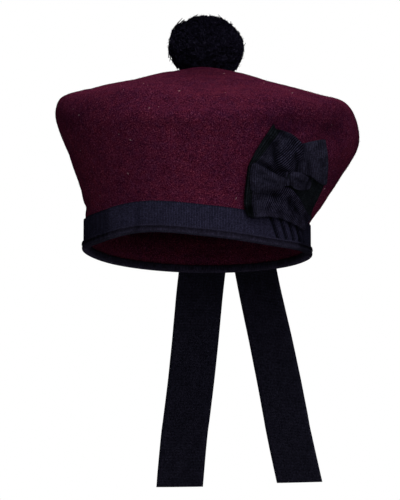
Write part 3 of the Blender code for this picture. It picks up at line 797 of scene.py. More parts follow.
def set_inputs(tree, node, inputs):
    """Link each input that is given a socket, and type in any other value."""
    for name, value in inputs.items():
        if isinstance(value, bpy.types.NodeSocket):
            tree.links.new(value, node.inputs[name])
        else:
            node.inputs[name].default_value = value


def add_node(tree, kind, output, inputs):
    """A new shader node with its inputs set; returns one of its outputs."""
    node = tree.nodes.new("ShaderNode" + kind)
    set_inputs(tree, node, inputs)
    return node.outputs[output]


def add_noise(tree, place, values):
    """Noise with the values that a table's row starts with."""
    return add_node(tree, "TexNoise", "Fac",
                    {"Vector": place, **dict(zip(NOISE_INPUTS, values))})


def add_ramp(tree, factor, stops):
    """Colours along a factor, as (place, colour)."""
    node = tree.nodes.new("ShaderNodeValToRGB")
    elements = node.color_ramp.elements
    while len(elements) < len(stops):
        elements.new(1.0)
    for element, (place, colour) in zip(elements, stops):
        element.position = place
        element.color = (*colour, 1.0)
    set_inputs(tree, node, {"Fac": factor})
    return node.outputs["Color"]


def multiply(tree, first, second):
    """Product of two colours."""
    node = tree.nodes.new("ShaderNodeMix")
    node.data_type = "RGBA"
    node.blend_type = "MULTIPLY"
    set_inputs(tree, node, {0: 1.0, 6: first, 7: second})
    return node.outputs[2]


def add_colours(tree, place, rows, colour=None):
    """Colours of a table over each other, and over an earlier colour if there is one."""
    for *values, stops in rows:
        tint = add_ramp(tree, add_noise(tree, place, values), stops)
        colour = tint if colour is None else multiply(tree, colour, tint)
    return colour


def add_painted_shade(tree, colour, deepest):
    """Colour times a painted shade that grows towards the deepest with the shade of the points."""
    depth = tree.nodes.new("ShaderNodeAttribute")
    depth.attribute_name = "shade"
    tint = add_ramp(tree, depth.outputs["Fac"], ((0.0, (1.0, 1.0, 1.0)), (1.0, deepest)))
    return multiply(tree, colour, tint)


def add_bump(tree, height, strength, depth, base=None):
    """Bump from a height, over an earlier bump if there is one."""
    inputs = {"Strength": strength, "Distance": depth * MM, "Height": height}
    if base is not None:
        inputs["Normal"] = base
    return add_node(tree, "Bump", "Normal", inputs)


def add_bumps(tree, place, rows, base=None):
    """Bumps of a table over each other, and over an earlier bump if there is one."""
    for *values, strength, depth in rows:
        base = add_bump(tree, add_noise(tree, place, values), strength, depth, base)
    return base


def add_stripes(tree, place, direction, spacing, distortion=0.0):
    """Smooth stripes across a direction of the map, dark at each whole spacing."""
    node = tree.nodes.new("ShaderNodeTexWave")
    node.bands_direction = direction
    set_inputs(tree, node, {"Vector": place, "Scale": math.pi / 10 / spacing,
                            "Distortion": distortion, "Detail": 1.0})
    return node.outputs["Fac"]


def new_surface(name, roughness, gloss):
    """A material, its node tree, its shader and the coordinates of its points."""
    surface = bpy.data.materials.new(name)
    surface.use_nodes = True
    tree = surface.node_tree
    shader = tree.nodes["Principled BSDF"]
    set_inputs(tree, shader, {"Roughness": roughness, "Specular IOR Level": gloss})
    return surface, tree, shader, tree.nodes.new("ShaderNodeTexCoord").outputs


def plain_surface(look):
    """Felt, wool, lint or floor, as its row says."""
    surface, tree, shader, spots = new_surface(look.name, look.roughness, look.gloss)
    colour = add_colours(tree, spots["Object"], look.colours)
    if look.deepest:
        colour = add_painted_shade(tree, colour, look.deepest)
    set_inputs(tree, shader, {"Base Color": colour})
    if look.bumps:
        set_inputs(tree, shader, {"Normal": add_bumps(tree, spots["Object"], look.bumps)})
    return surface


def ribbon_surface(look):
    """Black ribbed ribbon: grooves dark with painted shade, ridges paler with a painted sheen,
    and threads that catch the light.
    """
    surface, tree, shader, spots = new_surface(look.name, RIBBON_ROUGHNESS, 0.0)
    place, flat = spots["Object"], spots["UV"]
    ends = zip(PATCH_ENDS, ((1.0 - look.patchy,) * 3, (1.0 + look.patchy,) * 3))
    dashes = add_node(tree, "Mapping", "Vector", {"Vector": flat, "Scale": DASH_STRETCH})
    stripes = add_stripes(tree, flat, "X", 1.0)
    colour = add_ramp(tree, stripes, list(zip(RIB_ENDS, (look.groove, look.ridge))))
    colour = add_colours(tree, place, RIBBON_CLOUD, colour)
    colour = add_colours(tree, dashes, RIBBON_DASHES, colour)
    colour = add_colours(tree, place, [(*PATCHES, list(ends))], colour)
    colour = add_painted_shade(tree, colour, RIBBON_DEEPEST)
    threads = add_stripes(tree, flat, "Y", THREAD_SPACING, THREAD_WAVER)
    weave = add_bump(tree, threads, THREAD_STRENGTH, THREAD_DEPTH)
    weave = add_bumps(tree, place, RIBBON_BUMPS, weave)
    set_inputs(tree, shader, {"Base Color": colour, "Normal": weave})
    return surface


def crown_section(bearing):
    """Reaches, heights and lengths along the felt's outside from the band to the top."""
    collar = float(ellipse_reach(FELT_WALL, bearing))
    start = edge_height(bearing) + BAND_HEIGHT + CLEARANCE

    def point(reach_share, height_share):
        reach = collar + reach_share * CROWN_OVERHANG
        return Vector((reach, BAND_HEIGHT + height_share * CROWN_RISE))

    def value(column):
        return around(CROWN_SECTIONS, column, bearing)

    shoulder = point(value("shoulder"), value("shoulder_height"))
    brink = Vector((BRINK_REACH * shoulder.x, BAND_HEIGHT + value("brink_height") * CROWN_RISE))
    shelf = Vector((SHELF_REACH * shoulder.x, BAND_HEIGHT + value("shelf_height") * CROWN_RISE))
    points = smooth_curve([
        Vector((collar, start - LOW_HEIGHT * CROWN_RISE)),
        Vector((collar, start)),
        point(value("low"), LOW_HEIGHT),
        point(value("mid"), value("mid_height")),
        point(value("rim"), value("rim_height")),
        shoulder,
        brink,
        shelf,
        Vector((0.0, BAND_HEIGHT + CROWN_RISE)),
        Vector((-shelf.x, shelf.y)),
    ], CURVE_STEPS)
    return points[:, 0], points[:, 1], run_along(points)


def felt_points(bearings, stations):
    """Outside of the felt, a row of points and of painted shade for each station from band to top.
    """
    plain = np.empty((len(stations), len(bearings), 3))
    sideways = np.clip((stations - SHIFT_START) / (1 - SHIFT_START), 0.0, None) ** 2
    for column, bearing in enumerate(bearings):
        reach, height, length = crown_section(bearing)
        wanted = stations * length[-1]
        plain[:, column] = polar(bearing, np.interp(wanted, length, reach),
                                 np.interp(wanted, length, height))
    plain += sideways[:, None, None] * CROWN_TOP_SHIFT
    along = np.gradient(plain, axis=0)
    across = np.roll(plain, -1, axis=1) - np.roll(plain, 1, axis=1)
    outward = unit(np.cross(across, along))
    relief = np.zeros(plain.shape[:2])
    shade = np.zeros(plain.shape[:2])
    for fold in FOLDS:
        centre = fold.bearing + fold.lean * (stations - fold.station)
        rise = bell(wrapped(bearings[None] - centre[:, None]), fold.spread)
        rise = rise * bell(stations - fold.station, fold.span)[:, None]
        relief += fold.depth * FOLD_DEPTH * rise
        shade += fold.shade * rise
    calm = np.clip(stations / CALM_END, 0.0, 1.0)
    for row, column in np.ndindex(relief.shape):
        spot = Vector(plain[row, column])
        wave = noise.noise(spot / WAVE_SIZE) * WAVE_DEPTH
        pucker = noise.noise(spot / PUCKER_SIZE) * PUCKER_DEPTH
        relief[row, column] += calm[row] * (wave + pucker)
    points = plain + relief[..., None] * outward
    off_top = np.linalg.norm((points - CROWN_TOP_SHIFT)[..., :2], axis=-1)
    points[..., 2] -= DIMPLE_DEPTH * bell(off_top, DIMPLE_RADIUS)
    return points, shade


def build_felt(surface):
    """The felt shell; returns its outside grid above the band for what lies on it."""
    bearings = 360 * np.arange(FELT_BEARINGS) / FELT_BEARINGS
    outside, shade = felt_points(bearings, np.arange(FELT_ROWS) / FELT_ROWS)
    collar = ellipse_reach(FELT_WALL, bearings)
    hem = edge_heights(bearings) + BINDING_WALL + CLEARANCE
    middle = (hem + outside[0, :, 2]) / 2
    rows = [polar(bearings, collar, hem), polar(bearings, collar, middle), *outside]
    top = np.array((*CROWN_TOP_SHIFT[:2], BAND_HEIGHT + CROWN_RISE - DIMPLE_DEPTH))
    points = np.concatenate([np.concatenate(rows), top[None]])
    faces = grid_faces(len(rows), FELT_BEARINGS, closed_columns=True)
    last = (len(rows) - 1) * FELT_BEARINGS
    for column in range(FELT_BEARINGS):
        faces.append((last + column, last + (column + 1) % FELT_BEARINGS, len(points) - 1))
    crown = add_piece("crown_felt", points, faces, surface, ["crown"])
    # Painted shade in the deepest hollows, above the cockade, below the toorie and under the left
    # rim
    set_painted_shade(crown, np.concatenate([np.zeros(2 * FELT_BEARINGS), shade.reshape(-1), [0.0]]))
    thicken(crown, FELT_WALL, -1)
    return outside


def scatter(outside, count, draw):
    """Places spread over the felt, each with its outward and two sideways directions."""
    corners = (outside[:-1], np.roll(outside, -1, axis=1)[:-1], outside[1:])
    first, second, third = (corner.reshape(-1, 3) for corner in corners)
    outward = np.cross(second - first, third - first)
    area = np.linalg.norm(outward, axis=1)
    chosen = draw.choice(len(area), count, p=area / area.sum())
    share_1, share_2 = draw.random((2, count, 1))
    first, second, third = first[chosen], second[chosen], third[chosen]
    places = first + (second - first) * share_1 + (third - first) * share_2
    outward = unit(outward[chosen])
    side = unit(np.cross(outward, OFF_LEVEL))
    return places, outward, side, np.cross(outward, side)


def build_nap(outside, surface):
    """Short wool fibres that stand and lie on the felt."""
    draw = np.random.default_rng(NAP_SEED)
    places, outward, side, other = scatter(outside, NAP_HAIRS, draw)
    turn = draw.uniform(0, 2 * np.pi, (NAP_HAIRS, 1))
    lying = side * np.cos(turn) + other * np.sin(turn)
    reach = draw.uniform(*NAP_REACH, (NAP_HAIRS, 1)) * MM
    stand = draw.uniform(*NAP_STAND, (NAP_HAIRS, 1)) * reach
    tips = places + lying * reach + outward * stand
    paths = np.stack([places - outward * NAP_SINK * MM, tips], axis=1)
    points, faces = tubes(paths, np.array(NAP_RADII) * MM, sides=3)
    add_piece("felt_nap", points, faces, surface)


def build_lint(outside, surface):
    """Pale specks and curled hairs caught here and there in the nap."""
    draw = np.random.default_rng(LINT_SEED)
    places, outward, side, other = scatter(outside, LINT_SPECKS, draw)
    turn = draw.uniform(0, 2 * np.pi, (LINT_SPECKS, 1))
    bend = draw.uniform(*LINT_BEND, (LINT_SPECKS, 1))
    size = draw.uniform(*LINT_SPREAD, (LINT_SPECKS, 1)) ** 2 * LINT_SIZE * MM
    steps = []
    for share, height, _ in LINT_STEPS:
        angle = turn + bend * share
        lying = (side * np.cos(angle) + other * np.sin(angle)) * size * share
        steps.append(places + lying + outward * height * MM)
    thick = draw.uniform(*LINT_RADIUS, (LINT_SPECKS, 1)) * np.array(LINT_STEPS)[:, 2] * MM
    points, faces = tubes(np.stack(steps, axis=1), thick, sides=4)
    add_piece("felt_lint", points, faces, surface)


def pleat_place(bearings, rise):
    """Place among the slanted pleats: 0 where the first starts, one more for each pleat."""
    lean = PLEAT_LEAN * (BAND_HEIGHT / 2 - rise) / BAND_HEIGHT
    return (bearings - PLEAT_BEARING - lean) / PLEAT_PITCH + PLEAT_COUNT / 2


def pleat_gaps(place, width):
    """Bump of a half width in degrees at each gap between the pleats and at their two ends."""
    among = (place > -PLEAT_MARGIN) & (place < PLEAT_COUNT + PLEAT_MARGIN)
    return bell(np.abs(place - np.round(place)) * PLEAT_PITCH, width) * among


def pleat_heights(bearings, rise):
    """How far the slanted pleats under the cockade stand out from the band."""
    place = pleat_place(bearings, rise)
    share = place % 1.0
    climb = np.sin(np.pi / 2 * np.clip(share / PLEAT_CREST, 0, 1))
    fall = np.cos(np.pi / 2 * np.clip((share - PLEAT_CREST) / (1 - PLEAT_CREST), 0, 1))
    inside = (place > 0) & (place < PLEAT_COUNT)
    swell = np.where(inside, PLEAT_DEPTH * np.where(share < PLEAT_CREST, climb, fall), 0)
    fade = np.clip((rise - PLEAT_FOOT * BINDING_HEIGHT) / (PLEAT_FADE * BAND_HEIGHT), 0, 1)
    return fade * (swell - NOTCH_DEPTH * pleat_gaps(place, NOTCH_WIDTH))


def painted_ribbon_shade(bearings):
    """Painted shade of the ribbon all round, from the table of its stretches with painted shade.
    """
    shade = np.zeros(len(bearings))
    off_ridge = (bearings - RIDGE_BEARING + RIDGE_PITCH / 2) % RIDGE_PITCH - RIDGE_PITCH / 2
    for stretch in RIBBON_SHADES:
        aside = np.maximum(np.abs(wrapped(bearings - stretch.bearing)) - stretch.half, 0)
        level = stretch.shade - stretch.ridges * bell(off_ridge, RIDGE_WIDTH)
        shade += level * bell(aside, stretch.fade)
    return shade


def add_ring(name, rows, turns, widths, shades, surface, node):
    """A closed ring of ribbon from its rows, with its shades and the map of its ribs."""
    faces = grid_faces(len(rows), len(turns), closed_columns=True, closed_rows=True)
    ring = add_piece(name, np.concatenate(rows), faces, surface, [node])
    set_painted_shade(ring, np.clip(shades, 0, 1))
    map_ribs(ring, turns[None], np.array(widths)[:, None])
    return ring


def build_band(surface):
    """Ribbed ribbon round the collar, with its selvage, pleats and turned end."""
    bearings, turns = spread_round(BAND_OUTSIDE, BAND_RIB, RIB_SAMPLES)[:2]
    groove = 1 - ribs(turns)
    foot = edge_heights(bearings)
    low = foot + BINDING_WALL + CLEARANCE
    start = foot + BINDING_HEIGHT * BAND_START
    high = foot + BAND_HEIGHT
    turned = np.abs(bearings - TURN_MIDDLE) < TURN_HALF
    outer = ellipse_reach(BAND_OUTSIDE, bearings) - TURN_SINK * turned
    inner = ellipse_reach(FELT_WALL + CLEARANCE, bearings)
    lines = []
    for share in np.arange(BAND_ROWS) / (BAND_ROWS - 1):
        lines.append((start + (high - SELVAGE - start) * share, 0.0, 1.0, share * BAND_HEIGHT))
    for line in SELVAGE_LINES:
        height = high - line.drop * SELVAGE - line.wave * MM * groove
        lines.append((height, line.sink, line.rib, BAND_HEIGHT - line.drop * SELVAGE))
    rows = []
    for height, sink, rib, _ in lines:
        reach = outer - sink * BAND_WALL - BAND_RIB_DEPTH * rib * groove
        rows.append(polar(bearings, reach + pleat_heights(bearings, height - foot), height))
    rows.append(polar(bearings, inner, high - BACK_DROP))
    rows.append(polar(bearings, inner, low))
    rows.append(polar(bearings, outer - BAND_RIB_DEPTH, low))
    widths = [line[3] for line in lines] + [BAND_HEIGHT + BAND_WALL, 0.0, 0.0]
    # Painted shade on the ribbon's darker stretches, in the gaps between the pleats and on the
    # selvage
    shades = np.tile(painted_ribbon_shade(bearings), (len(rows), 1))
    for row, points in enumerate(rows):
        place = pleat_place(bearings, points[:, 2] - foot)
        shades[row] += NOTCH_SHADE * pleat_gaps(place, NOTCH_SHADE_WIDTH)
    shades[BAND_ROWS:len(lines)] += SELVAGE_SHADE
    add_ring("band_ribbon", rows, turns, widths, shades, surface, "band")


def build_binding(surface, lip_highlight):
    """Strip folded round the lower edge, with rounded lips and a painted highlight along its fold.
    """
    bearings, turns = spread_round(BINDING_OUTSIDE, BINDING_RIB, BINDING_SAMPLES)[:2]
    foot = edge_heights(bearings)
    half = (BINDING_OUTSIDE + BINDING_WALL + CLEARANCE) / 2
    middle = BINDING_OUTSIDE - half
    profile = [(middle + half * np.cos(angle), BINDING_WALL * (1 + np.sin(angle)), FOLD_RIB)
               for angle in np.radians(FOLD_ANGLES)]
    front, back = ([(gap + walls * BINDING_WALL + aside * MM, tops * BINDING_HEIGHT + up * MM, rib)
                    for walls, aside, tops, up, rib in side]
                   for gap, side in ((BINDING_INSIDE, BINDING_FRONT), (-CLEARANCE, BINDING_BACK)))
    inner = [(gap, BINDING_WALL, 0.0) for gap in (-CLEARANCE, BINDING_INSIDE)]
    profile = front + profile + back + inner
    rows = []
    for extra, rise, share in profile:
        away = 1 if extra > middle else -1
        groove = away * share * BINDING_RIB_DEPTH * (1 - ribs(turns))
        rows.append(polar(bearings, ellipse_reach(extra, bearings) - groove, foot + rise))
    numbers = np.arange(len(rows))
    # Painted shade in the groove and on the ribbon's darker stretches
    shades = GROOVE_SHADE * np.isin(numbers, GROOVE_ROWS)[:, None] + painted_ribbon_shade(bearings)
    strip = add_ring("binding_strip", rows, turns, numbers * MM, shades, surface,
                     "edge_binding")
    # The lip's rows take the paler copy of the ribbon, a painted highlight
    strip.data.materials.append(lip_highlight)
    set_looks(strip, np.isin(numbers, HIGHLIGHT_ROWS), len(bearings))


def build_stitches(surface):
    """Row of machine stitches along the upper fold of the binding."""
    centres, _, length = spread_round(BINDING_OUTSIDE, STITCH_PITCH)
    turn = 360 * STITCH_HALF * STITCH_PITCH / length
    steps = []
    for share, lift in STITCH_STEPS:
        bearings = centres + turn * share
        height = edge_heights(bearings) + BINDING_HEIGHT - STITCH_DROP
        reach = ellipse_reach(BINDING_OUTSIDE + lift * MM, bearings)
        steps.append(polar(bearings, reach, height))
    points, faces = tubes(np.stack(steps, axis=1), STITCH_RADIUS, sides=5)
    add_piece("binding_stitches", points, faces, surface)


def over_window(values, pick):
    """What pick takes from each value and its neighbours up and down the wall."""
    padded = np.pad(values, ((0, 0), (SEAT_WINDOW, SEAT_WINDOW)), mode="edge")
    shifts = range(2 * SEAT_WINDOW + 1)
    return pick([padded[:, shift:shift + values.shape[1]] for shift in shifts], axis=0)


def seat_table(outside):
    """How far out the felt or the band reaches at each bearing and height by the cockade."""
    bearings = np.arange(FELT_BEARINGS) * 360 / FELT_BEARINGS
    reach = np.empty((FELT_BEARINGS, len(SEAT_HEIGHTS)))
    for column in range(FELT_BEARINGS):
        line = outside[:, column]
        reach[column] = np.interp(SEAT_HEIGHTS, line[:, 2], np.hypot(line[:, 0], line[:, 1]))
    band_top = (edge_heights(bearings) + BAND_HEIGHT)[:, None]
    band = ellipse_reach(BAND_OUTSIDE + PLEAT_DEPTH, bearings)[:, None]
    on_band = SEAT_HEIGHTS[None] < band_top + SEAT_STEP
    raw = np.where(on_band, np.maximum(reach, band), reach)
    soft = over_window(over_window(raw, np.max), np.mean)
    near_band = bell(SEAT_HEIGHTS[None] - band_top, SEAT_BLEND)
    return np.maximum(raw, near_band * soft + (1 - near_band) * raw)


def on_wall(seat, across, up, out):
    """Points on the cockade's seat: across towards the rear, up, and out from the wall."""
    wall = float(ellipse_reach(CROWN_OVERHANG / 2, COCKADE_BEARING))
    bearings = COCKADE_BEARING + np.degrees(across / wall)
    heights = COCKADE_HEIGHT + up
    column = bearings % 360 / 360 * FELT_BEARINGS
    row = np.clip((heights - SEAT_HEIGHTS[0]) / MM, 0, seat.shape[1] - SEAT_END)
    c0, r0 = np.floor(column).astype(int), np.floor(row).astype(int)
    c1, share_c, share_r = (c0 + 1) % FELT_BEARINGS, column - c0, row - r0
    c0 = c0 % FELT_BEARINGS
    reach = ((seat[c0, r0] * (1 - share_r) + seat[c0, r0 + 1] * share_r) * (1 - share_c)
             + (seat[c1, r0] * (1 - share_r) + seat[c1, r0 + 1] * share_r) * share_c)
    reach = reach + CLEARANCE + out * math.cos(COCKADE_TILT)
    return polar(bearings, reach, heights - out * math.sin(COCKADE_TILT))


def layer_surface(seat, layer):
    """Dense lines across one ribbon of the cockade, and where each lies among its table's."""
    first, middle, last = (
        whole_curve([Vector(line[start:start + 3]) * MM for line in layer.lines], GUIDE_STEPS)
        for start in (0, 3, 6))
    shares = np.linspace(0, 1, COCKADE_COLUMNS)[None, :, None]
    flat = (first[:, None] * (1 - shares) * (1 - 2 * shares)
            + middle[:, None] * 4 * shares * (1 - shares)
            + last[:, None] * shares * (2 * shares - 1))
    shade = np.zeros(flat.shape[:2])
    for crease in CREASES:
        if crease.layer == layer.name:
            lean = math.radians(crease.lean)
            aside = flat[..., 0] - crease.across * MM
            above = flat[..., 1] - crease.up * MM
            along = aside * math.cos(lean) + above * math.sin(lean)
            off = above * math.cos(lean) - aside * math.sin(lean)
            press = bell(along, crease.length * MM) * bell(off, crease.width * MM)
            flat[..., 2] -= crease.depth * MM * press
            # Painted shade along the crease, darker the deeper it is
            shade = np.maximum(shade, np.clip(crease.depth / CREASE_DARK, 0, 1) * press)
    flat[..., 2] = np.maximum(flat[..., 2], COCKADE_LEAST)
    length = run_along(on_wall(seat, *np.moveaxis(flat[:, COCKADE_COLUMNS // 2], -1, 0)))
    steps = max(2 * RIB_SAMPLES, round(length[-1] / COCKADE_RIB) * RIB_SAMPLES)
    even = np.linspace(0, length[-1], steps + 1)
    place = np.interp(even, length, np.arange(len(length)) / GUIDE_STEPS)
    flat = np.concatenate([flat, shade[..., None]], axis=-1)
    return np.apply_along_axis(lambda line: np.interp(even, length, line), 0, flat), place


def build_cockade(outside, surfaces):
    """All ribbon layers of the cockade; its surfaces are the plain, a copy with fainter painted
    sheen, and a dark copy for painted shade.
    """
    seat = seat_table(outside)
    for layer in LAYERS:
        flat, place = layer_surface(seat, layer)
        points = on_wall(seat, flat[..., 0], flat[..., 1], flat[..., 2])
        outward = unit(np.cross(np.gradient(points, axis=0), np.gradient(points, axis=1)))
        turns = (np.arange(len(points)) / RIB_SAMPLES)[:, None]
        change = (layer.crisp - RIB_CHANGE, layer.crisp + RIB_CHANGE)
        rise = np.interp(place, change, (FAINT_RIB, 1.0))[:, None]
        rise = ribs(turns) * rib_edges(COCKADE_COLUMNS) * rise * COCKADE_RIB_DEPTH
        points = points + outward * rise[..., None]
        piece = add_piece("cockade_" + layer.name, points.reshape(-1, 3),
                          grid_faces(*points.shape[:2]), surfaces[0], [layer.node])
        map_ribs(piece, turns, np.linspace(0, 1, COCKADE_COLUMNS) * COCKADE_WIDTH)
        set_painted_shade(piece, flat[..., 3])
        for surface in surfaces[1:]:
            piece.data.materials.append(surface)
        # The first lines take the dark copy as painted shade, the next ones up to the crisp line
        # the copy with fainter painted sheen
        looks = np.where(place < layer.reverse, 2, np.where(place < layer.crisp, 1, 0))
        set_looks(piece, looks[1:], COCKADE_COLUMNS - 1)
        thicken(piece, RIBBON_WALL, 0)


def noise_at(spots, scale):
    """Noise from about -1 to 1 at many spots."""
    return np.array([noise.noise(Vector(spot) * scale) for spot in spots])


def toorie_reach(away):
    """How far the toorie reaches in each direction, as a share of its half sizes."""
    reach = 1 + SWELL_RISE * noise_at(away, SWELL_SCALE)
    for lump in TOORIE_LUMPS:
        near = np.clip(away @ unit(np.array(lump.towards)), -1, 1)
        reach += lump.rise * bell(np.degrees(np.arccos(near)), lump.width)
    return reach


def over_felt(hood, spots, gap):
    """Heights of spots, raised where they would come nearer to the felt below than the gap."""
    heights = []
    for spot in spots:
        hit = hood.ray_cast(Vector((spot[0], spot[1], ABOVE_ALL)), DOWN)[0]
        heights.append(spot[2] if hit is None else max(spot[2], hit.z + gap))
    return np.array(heights)


def build_toorie(outside, surface):
    """Thousands of yarn ends brushed over a core, and the fine hairs between them."""
    low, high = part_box("toorie")
    middle, half = np.array((low + high) / 2), np.array((high - low) / 2)
    hood = BVHTree.FromPolygons(outside.reshape(-1, 3).tolist(),
                                grid_faces(*outside.shape[:2], closed_columns=True))
    draw = np.random.default_rng(TOORIE_SEED)
    number = np.arange(YARNS)
    height = 1 - 2 * (number + 0.5) / YARNS
    swing = number * math.pi * (3 - math.sqrt(5))
    level = np.sqrt(1 - height ** 2)
    away = np.stack([level * np.cos(swing), level * np.sin(swing), height], axis=-1)
    away = unit(away + draw.normal(0, AWAY_SPREAD, away.shape))
    reach = toorie_reach(away) * draw.uniform(*YARN_REACH, YARNS)
    noise.seed_set(TOORIE_SEED)  # or else the flow differs in each run
    flow = np.array([noise.noise_vector(Vector(spot) * FLOW_SCALE + FLOW_START) for spot in away])
    flow = unit(flow + draw.normal(0, FLOW_SPREAD, flow.shape))
    flow = flow - away * np.sum(flow * away, axis=1, keepdims=True)
    length = draw.uniform(*YARN_LENGTHS, YARNS)[:, None] * YARN_BEND
    curl = draw.normal(0, CURL_SPREAD, (YARNS, 1))
    steps = []
    for stretch, bend, _ in YARN_STEPS:
        turned = flow + np.cross(away, flow) * curl * bend
        spots = middle + away * (stretch * reach)[:, None] * half
        steps.append(spots + turned * length * bend)
    paths = np.stack(steps, axis=1)
    paths[..., 2] = over_felt(hood, paths.reshape(-1, 3), YARN_GAP).reshape(paths.shape[:2])
    thick = draw.uniform(*YARN_SIZES, (YARNS, 1)) * YARN_RADIUS
    yarn = tubes(paths, thick * np.array(YARN_STEPS)[:, 2], sides=4)

    hairs = draw.choice(YARNS, HAIRS)
    roots = paths[hairs, HAIR_STEP]
    lean = away[hairs] * HAIR_LIFT + flow[hairs] + draw.normal(0, HAIR_SPREAD, (HAIRS, 3))
    tips = roots + unit(lean) * draw.uniform(*HAIR_LENGTHS, (HAIRS, 1)) * MM
    fuzz = tubes(np.stack([roots, tips], axis=1), np.array(HAIR_RADII) * MM, sides=3)
    for name, (points, faces), nodes in (("toorie_yarn", yarn, ["toorie"]),
                                         ("toorie_fuzz", fuzz, [])):
        piece = add_piece(name, points, faces, surface, nodes)
        # Painted shade that darkens the toorie towards its top
        crest = (points[:, 2] - middle[2]) / half[2] + CREST_SHADE
        set_painted_shade(piece, np.clip(crest, 0, 1))
    build_core(hood, middle, half, surface)


def build_core(hood, middle, half, surface):
    """The bumpy ball inside the toorie."""
    bpy.ops.mesh.primitive_ico_sphere_add(subdivisions=CORE_SPLITS, radius=1.0)
    core = bpy.context.object
    core.name = "toorie_core"
    away = np.array([vertex.co.normalized() for vertex in core.data.vertices])
    reach = toorie_reach(away) * (CORE_SIZE + CORE_BUMP * noise_at(away, CORE_SCALE))
    spots = middle + away * reach[:, None] * half
    spots[:, 2] = over_felt(hood, spots, CLEARANCE)
    for vertex, spot in zip(core.data.vertices, spots):
        vertex.co = spot
    core.data.materials.append(surface)
    core.data.shade_smooth()
    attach(core, "root")


def tail_curve(column, shares):
    """Smooth values of the tail table's column at shares of the tail's length."""
    points = [Vector((row.length, getattr(row, column))) for row in TAIL_ROWS]
    dense = whole_curve(points, TAIL_STEPS)
    return np.interp(shares, dense[:, 0], dense[:, 1])


def build_tail(tail, surface):
    """One ribbed ribbon that hangs from the outside of the band at the nape."""
    top = edge_height(NAPE_BEARING) + BAND_HEIGHT - 2 * CLEARANCE
    nape = HEAD_HALF_LENGTH + BINDING_INSIDE
    steps = round(TAIL_LENGTH / TAIL_RIB) * RIB_SAMPLES
    turns = (np.arange(steps + 1) / RIB_SAMPLES)[:, None]
    shares = np.linspace(0, 1, steps + 1)
    places = np.linspace(0, 1, TAIL_COLUMNS)
    drop = shares * TAIL_LENGTH * math.cos(tail.lean)
    across = TAIL_GAP / 2 + TAIL_WIDTH * places
    bearings = NAPE_BEARING - np.degrees(across / nape)
    round_spots = polar(bearings, ellipse_reach(BINDING_INSIDE, bearings), 0.0)
    flat_spots = np.stack([across, np.full_like(across, nape - TAIL_WIDTH * TAIL_FLAT),
                           np.zeros_like(across)], axis=-1)
    curve = tail_curve("curve", shares)[:, None, None]
    spots = flat_spots[None] * (1 - curve) + round_spots[None] * curve
    spots[..., 0] += drop[:, None] * math.tan(tail.lean)
    spots[..., 1] += tail_curve("standoff", shares)[:, None] * TAIL_STANDOFF
    along, wide, apart = TAIL_RIPPLE_SCALE
    ripple = np.array([[noise.noise(Vector((share * along, place * wide, tail.side * apart)))
                        for place in places] for share in shares])
    loose = np.clip((shares - TAIL_HELD) / TAIL_LOOSENS, 0, 1)[:, None]
    spots[..., 1] += ripple * TAIL_RIPPLE * loose
    spots[..., 1] += ribs(turns) * rib_edges(TAIL_COLUMNS) * TAIL_RIB_DEPTH
    spots[..., 0] *= tail.side
    spots[..., 2] = top - drop[:, None]
    faces = grid_faces(*spots.shape[:2])
    if tail.side < 0:
        faces = [face[::-1] for face in faces]
    name = tail.name + "_ribbon"
    piece = add_piece(name, spots.reshape(-1, 3), faces, surface, [tail.name])
    map_ribs(piece, turns, across)
    thicken(piece, RIBBON_WALL, -1)


def build_floor(surface):
    """Plain pale floor, well below the hanging bonnet."""
    bpy.ops.mesh.primitive_circle_add(vertices=FLOOR_SIDES, radius=FLOOR_RADIUS,
                                      fill_type="NGON", location=(0, 0, FLOOR_HEIGHT))
    floor = bpy.context.object
    floor.name = "floor"
    floor.data.materials.append(surface)


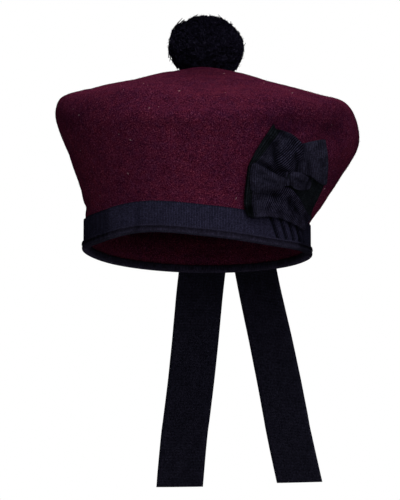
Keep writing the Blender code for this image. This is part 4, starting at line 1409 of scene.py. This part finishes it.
def build_world():
    """White studio that is bright behind the bonnet and a softer fill on it."""
    world = bpy.data.worlds.new("studio")
    bpy.context.scene.world = world
    world.use_nodes = True
    tree = world.node_tree
    fill = tree.nodes["Background"]
    set_inputs(tree, fill, {"Color": FILL_COLOUR, "Strength": FILL_STRENGTH})
    behind = add_node(tree, "Background", "Background", {"Color": WHITE, "Strength": 1.0})
    seen = add_node(tree, "LightPath", "Is Camera Ray", {})
    both = add_node(tree, "MixShader", "Shader",
                    {"Fac": seen, 1: fill.outputs["Background"], 2: behind})
    set_inputs(tree, tree.nodes["World Output"], {"Surface": both})


def build_camera():
    """Camera whose picture has the origin at its place in the frame."""
    data = bpy.data.cameras.new("camera")
    data.lens = CAMERA_LENS
    data.sensor_fit = "VERTICAL"
    data.sensor_height = SENSOR_HEIGHT
    data.shift_x = (PICTURE_WIDTH / 2 - ORIGIN_X) / PICTURE_HEIGHT
    data.shift_y = (ORIGIN_Y - PICTURE_HEIGHT / 2) / PICTURE_HEIGHT
    camera = add_object("camera", data)
    camera.location = -AWAY * CAMERA_DISTANCE
    camera.rotation_euler = AWAY.to_track_quat("-Z", "Y").to_euler()
    bpy.context.scene.camera = camera


def build_lamps():
    """Soft boxes round the bonnet, mostly before it and above it."""
    level = Vector((AWAY.x, AWAY.y, 0.0)).normalized()
    for lamp in LAMPS:
        data = bpy.data.lights.new(lamp.name, "AREA")
        data.size = LAMP_SIZE
        data.energy = lamp.watts
        data.color = lamp.colour
        swing = math.radians(lamp.swing)
        rise = math.radians(lamp.rise)
        aside = RIGHT * math.sin(swing) - level * math.cos(swing)
        box = add_object(lamp.name, data)
        box.location = LAMP_AIM + LAMP_DISTANCE * (aside * math.cos(rise) + UP * math.sin(rise))
        box.rotation_euler = (LAMP_AIM - box.location).to_track_quat("-Z", "Y").to_euler()
        box.visible_camera = False


bpy.context.scene.view_settings.view_transform = "Standard"
build_camera()
build_world()
build_lamps()
surfaces = {look.name: plain_surface(look) for look in SURFACES}
surfaces.update({look.name: ribbon_surface(look) for look in RIBBONS})
build_floor(surfaces["pale_floor"])
outside = build_felt(surfaces["milled_felt"])
build_nap(outside, surfaces["milled_felt"])
build_lint(outside, surfaces["pale_lint"])
build_band(surfaces["black_ribbon"])
build_binding(surfaces["binding_ribbon"], surfaces["binding_thread"])
build_stitches(surfaces["binding_ribbon"])
build_cockade(outside, [surfaces[name] for name in COCKADE_SURFACES])
build_toorie(outside, surfaces["black_wool"])
# The tails take a darker copy of the ribbon, painted shade
for tail in TAILS:
    build_tail(tail, surfaces["tail_ribbon"])
